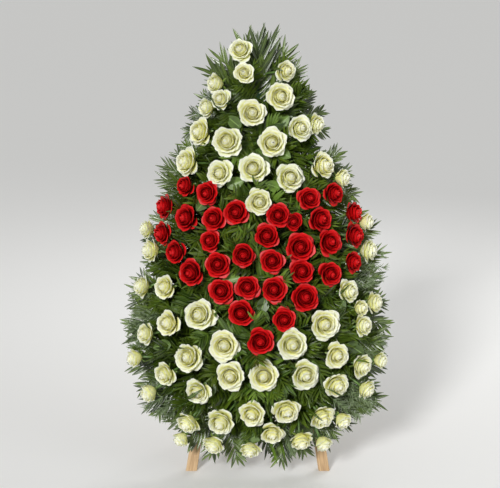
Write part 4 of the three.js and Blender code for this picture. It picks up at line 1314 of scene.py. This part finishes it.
broad_leaf = leaf_material(
    "broad leaf",
    dark=(0.015, 0.032, 0.003, 1),
    light=(0.17, 0.30, 0.03, 1),
    vein=(0.22, 0.35, 0.08, 1),
    gloss=0.5,
)
broad_leaf.node_tree.nodes["Principled BSDF"].inputs["Coat Weight"].default_value = 0.1
x, z, length, heading, bright = np.array(BROAD_LEAVES, dtype=float).T
rng = np.random.default_rng(19)
depth = np.array([head_depth(*place) for place in zip(x, z)]) - BELOW_HEADS
heading = np.radians(heading)
heads = unit(np.stack([np.cos(heading), -rng.uniform(0.1, 0.5, len(x)), np.sin(heading)], axis=-1))
overs = facing(heads)
middles = np.stack([x, -depth, z], axis=-1)
roots = middles - heads * length[:, None] / 2
sides = np.cross(heads, overs)
v = np.linspace(0, 1, 9)[None, :, None]
u = np.linspace(-1, 1, 7)[None, None, :]
half = (length * HALF_OF_LENGTH)[:, None, None] * np.sin(np.pi * (0.03 + 0.95 * v) ** 0.85) ** 0.75
teeth = 1 + 0.05 * np.abs(u) ** 6 * np.cos(16 * np.pi * v)
lift = -half * 0.22 * (1 - np.abs(u)) - (length * 0.16)[:, None, None] * v ** 2
grids = (
    roots[:, None, None]
    + heads[:, None, None] * (length[:, None, None] * (v + 0 * u))[..., None]
    + sides[:, None, None] * (half * teeth * u)[..., None]
    + overs[:, None, None] * (lift + 0 * u)[..., None]
)
piece = thin_sheets("broad_leaves", grids, LEAFLET_THICKNESS, broad_leaf, {"chance": bright[:, None, None]})
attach(piece, "root")
_, share, _ = place_in(FOAM, x, z)
feet = np.stack([x * 0.97, -foam_depth(share) + FOOT_SUNK, mix(z, HEART_OF_TEAR, 0.03)], axis=-1)
stalks = tubes(feet, roots + heads * 3, BROAD_STALK_RADII, heads * 6, 5, 5)
piece = tube_piece("broad_leaf_stalks", stalks, stem_material)
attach(piece, "root")


# The grass blades: long bright leaves between the blooms. Five stand up among the red ones, and the others
# point down, three of them at the foot. An entry gives the blade's foot and tip, across and up, and its half
# width.
GRASS = [
    [[70, 560], [82, 672], 4.2], [[84, 556], [106, 664], 4.8], [[96, 560], [98, 690], 3.6],
    [[-2, 400], [-4, 452], 2.6], [[10, 396], [12, 446], 2.6], [[-40, 96], [-30, 40], 5.5],
    [[30, 60], [48, 4], 4.0], [[52, 70], [68, 20], 4.0], [[-120, 370], [-88, 300], 3.4],
    [[140, 300], [128, 214], 3.6], [[150, 560], [168, 470], 3.4],
]
feet, tips, half_widths = (np.array(part, dtype=float) for part in zip(*GRASS))
rng = np.random.default_rng(29)
grass = []
for foot, tip_at, half_width in zip(feet, tips, half_widths):
    share = float(place_in(FOAM, *foot)[1])
    start = np.array([foot[0], -foam_depth(share) + FOOT_SUNK, foot[1]])
    end = np.array([tip_at[0], -head_depth(*tip_at) - rng.uniform(0, 12), tip_at[1]])
    grass.append((start, end, half_width))
starts, ends, half_widths = (np.array(part) for part in zip(*grass))
lengths = np.linalg.norm(ends - starts, axis=1)
heads = (ends - starts) / lengths[:, None]
overs = facing(heads)
blades = blades_of(starts, heads, overs, lengths, half_widths, 0.05, 9)
chance_of = rng.uniform(0.6, 1, (len(blades), 1, 1))
piece = thin_sheets("grass_blades", blades, BLADE_THICKNESS, spray_leaf, {"chance": chance_of})
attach(piece, "root")


# The blades that lie over a bloom: each rises beside a head and bends over its petals. An entry gives where
# it rises and where its tip lies, across and up, and its half width.
DRAPE_MARGIN = 0.80
OVERLYING = [
    [[-74, 872], [-112, 926], 4.4], [[118, 722], [156, 776], 4.6], [[232, 178], [168, 196], 4.0],
    [[214, 272], [272, 256], 4.4], [[112, 150], [160, 118], 4.4], [[-190, 160], [-136, 196], 4.2],
    [[110, 700], [92, 736], 3.8], [[60, 512], [84, 528], 3.4], [[-214, 300], [-176, 292], 3.8],
    [[30, 1000], [62, 984], 4.2], [[196, 420], [226, 448], 3.8],
]


def draped(grids, margin):
    """Grids with the points inside a ball round a head, of its radius times the margin, moved out to it, so a
    blade lies over the petals."""
    for centre, radius in zip(bloom_centres, bloom_radii):
        way = grids - centre
        distance = np.linalg.norm(way, axis=-1, keepdims=True)
        grids = centre + way * np.maximum(1, radius * margin / np.maximum(distance, 1e-6))
    return grids


feet, tips, half_widths = (np.array(part, dtype=float) for part in zip(*OVERLYING))
foot_share = place_in(FOAM, feet[:, 0], feet[:, 1])[1]
foot = np.stack([feet[:, 0], FOOT_SUNK - foam_depth(foot_share), feet[:, 1]], axis=-1)
over_head = np.array([head_depth(*place) for place in tips]) + 16
near_foot = mix(feet, tips, 0.12)
knee = np.stack([near_foot[:, 0], -over_head - 14, near_foot[:, 1]], axis=-1)
tip_at = np.stack([tips[:, 0], -over_head, tips[:, 1]], axis=-1)
v = np.linspace(0, 1, 12)[None, :, None]
u = np.linspace(-1, 1, 3)[None, None, :]
line = (1 - v) ** 2 * foot[:, None] + 2 * v * (1 - v) * knee[:, None] + v ** 2 * tip_at[:, None]
heading = unit(np.gradient(line, axis=1))
flat_way = unit((tip_at - foot) * [1, 0, 1])
side = np.cross(flat_way, FRONT)[:, None] + 0 * heading
half = 0.8 * half_widths[:, None, None] * (np.sin(np.pi * (0.03 + 0.95 * v) ** 1.3) ** 0.8 + 0.03)
fold = np.cross(heading, side)[:, :, None] * (half * 0.3 * (1 - np.abs(u)))[..., None]
grids = draped(line[:, :, None] + side[:, :, None] * (half * u)[..., None] + fold, DRAPE_MARGIN)
chance_of = rng.uniform(0.1, 0.6, (len(grids), 1, 1))
piece = thin_sheets("overlying_blades", grids, BLADE_THICKNESS, palm_leaf, {"chance": chance_of})
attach(piece, "root")


# The needle sprigs: fine feathery shoots at the edge, with needles all round a thin stem. An entry gives the
# sprig's tip across and up.
SPRIGS = [
    [-322, 300], [-330, 340], [-318, 376], [-300, 292], [322, 470], [326, 498], [302, 455], [318, 276],
    [326, 304], [306, 262], [-288, 140], [-262, 122], [-296, 178], [288, 128], [262, 112], [298, 168],
    [-150, 812], [-196, 700], [222, 690], [150, 880], [-40, 16], [90, 22], [-332, 316], [-334, 356],
    [286, 152], [250, 112], [228, 96], [300, 150], [-316, 430], [324, 530], [-240, 108],
]
NEEDLES = 60
NEEDLE_RADII = (1.15, 0.25)
NEEDLE_MARGIN = 0.95
SPRIG_STEM_RADII = (1.1, 0.4)
needle_leaf = leaf_material(
    "needle",
    dark=(0.20, 0.27, 0.13, 1),
    light=(0.46, 0.54, 0.36, 1),
    vein=(0.46, 0.54, 0.36, 1),
    gloss=0.4,
)
rng = np.random.default_rng(31)
needles = []
stems = []
for x, z in SPRIGS:
    out, _, _ = place_in(RIM, float(x), float(z))
    tip_at = np.array([x, -rng.uniform(64, 110), z])
    start = tip_at - out * rng.uniform(95, 120) + FRONT * rng.uniform(-14, 4)
    way = tip_at - start
    along = rng.uniform(0.25, 0.97, NEEDLES)
    around = GOLDEN_ANGLE * np.arange(NEEDLES)
    u1, v1 = square_to(unit(way))
    aside = np.cos(around)[:, None] * u1 + np.sin(around)[:, None] * v1
    foot = start + way * along[:, None]
    long = mix(30, 15, along) * rng.uniform(0.8, 1.15, NEEDLES)
    end = foot + (unit(way) * 0.72 + aside * 0.69) * long[:, None]
    needles.append(tubes(foot, end, NEEDLE_RADII, 0, 4, 3))
    stems.append((start, start + way * 0.98))
needles = np.concatenate(needles)
needles = needles[clear_of_heads(needles, NEEDLE_MARGIN)]
piece = tube_piece("needle_sprigs", needles, needle_leaf)
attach(piece, "root")
starts, ends = (np.array(part) for part in zip(*stems))
sprig_stems = tubes(starts, ends, SPRIG_STEM_RADII, 0, 5, 4)
piece = tube_piece("sprig_stems", sprig_stems, stem_material)
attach(piece, "root")


# Floor, light and camera: a plain pale floor, soft studio light from the front and above with a little from
# behind, and the camera nearly square to the leaning wreath, as the photograph shows it.
def plain(name, color, roughness):
    """A material of one colour and roughness, for what isn't part of the wreath."""
    material = bpy.data.materials.new(name)
    material.use_nodes = True
    shader = material.node_tree.nodes["Principled BSDF"]
    shader.inputs["Base Color"].default_value = color
    shader.inputs["Roughness"].default_value = roughness
    return material


bpy.ops.mesh.primitive_plane_add(size=160, location=(0, 0, 0))
floor = bpy.context.object
floor.name = "floor"
floor.data.materials.append(plain("pale floor", (0.88, 0.88, 0.87, 1), 0.9))

bpy.context.scene.view_settings.view_transform = "Standard"
world = bpy.data.worlds.new("studio")
bpy.context.scene.world = world
world.use_nodes = True
world.node_tree.nodes["Background"].inputs["Color"].default_value = (1.0, 1.0, 0.98, 1)
world.node_tree.nodes["Background"].inputs["Strength"].default_value = 0.32


def lamp(kind, name, place, aim, size, power):
    """A lamp that looks from its place at an aim: a sun whose size is its angle, or a square area."""
    data = bpy.data.lights.new(name, kind)
    data.energy = power
    if kind == "SUN":
        data.angle = size
    else:
        data.size = size
    holder = bpy.data.objects.new(name, data)
    bpy.context.scene.collection.objects.link(holder)
    holder.location = place
    x, y, z = np.array(aim) - np.array(place)
    holder.rotation_euler = (math.atan2(math.hypot(x, y), -z), 0, math.atan2(-x, y))


lamp("SUN", "key light", (-1.0, -2.9, 1.9), (0, 0, 0.55), math.radians(12), 2.6)
lamp("AREA", "fill light", (1.9, -2.0, 1.3), (0, -0.1, 0.5), 1.6, 14)
lamp("AREA", "rim light", (0.8, 1.8, 2.2), (0, 0, 0.6), 1.2, 24)

AIM = np.array([-0.017, -0.090, 0.5755])
LOOK_DOWN = math.radians(12.6)
CAMERA_DISTANCE = 4.0
VIEW_HEIGHT = 1.258
FRAME_SHAPE = 500 / 488
SENSOR_WIDTH = 36
camera_data = bpy.data.cameras.new("camera")
camera = bpy.data.objects.new("camera", camera_data)
bpy.context.scene.collection.objects.link(camera)
camera.location = AIM + np.array([0, -math.cos(LOOK_DOWN), math.sin(LOOK_DOWN)]) * CAMERA_DISTANCE
camera.rotation_euler = (math.pi / 2 - LOOK_DOWN, 0, 0)
camera_data.sensor_fit = "HORIZONTAL"
camera_data.sensor_width = SENSOR_WIDTH
camera_data.lens = SENSOR_WIDTH * CAMERA_DISTANCE / (VIEW_HEIGHT * FRAME_SHAPE)
camera_data.clip_end = 300
bpy.context.scene.camera = camera
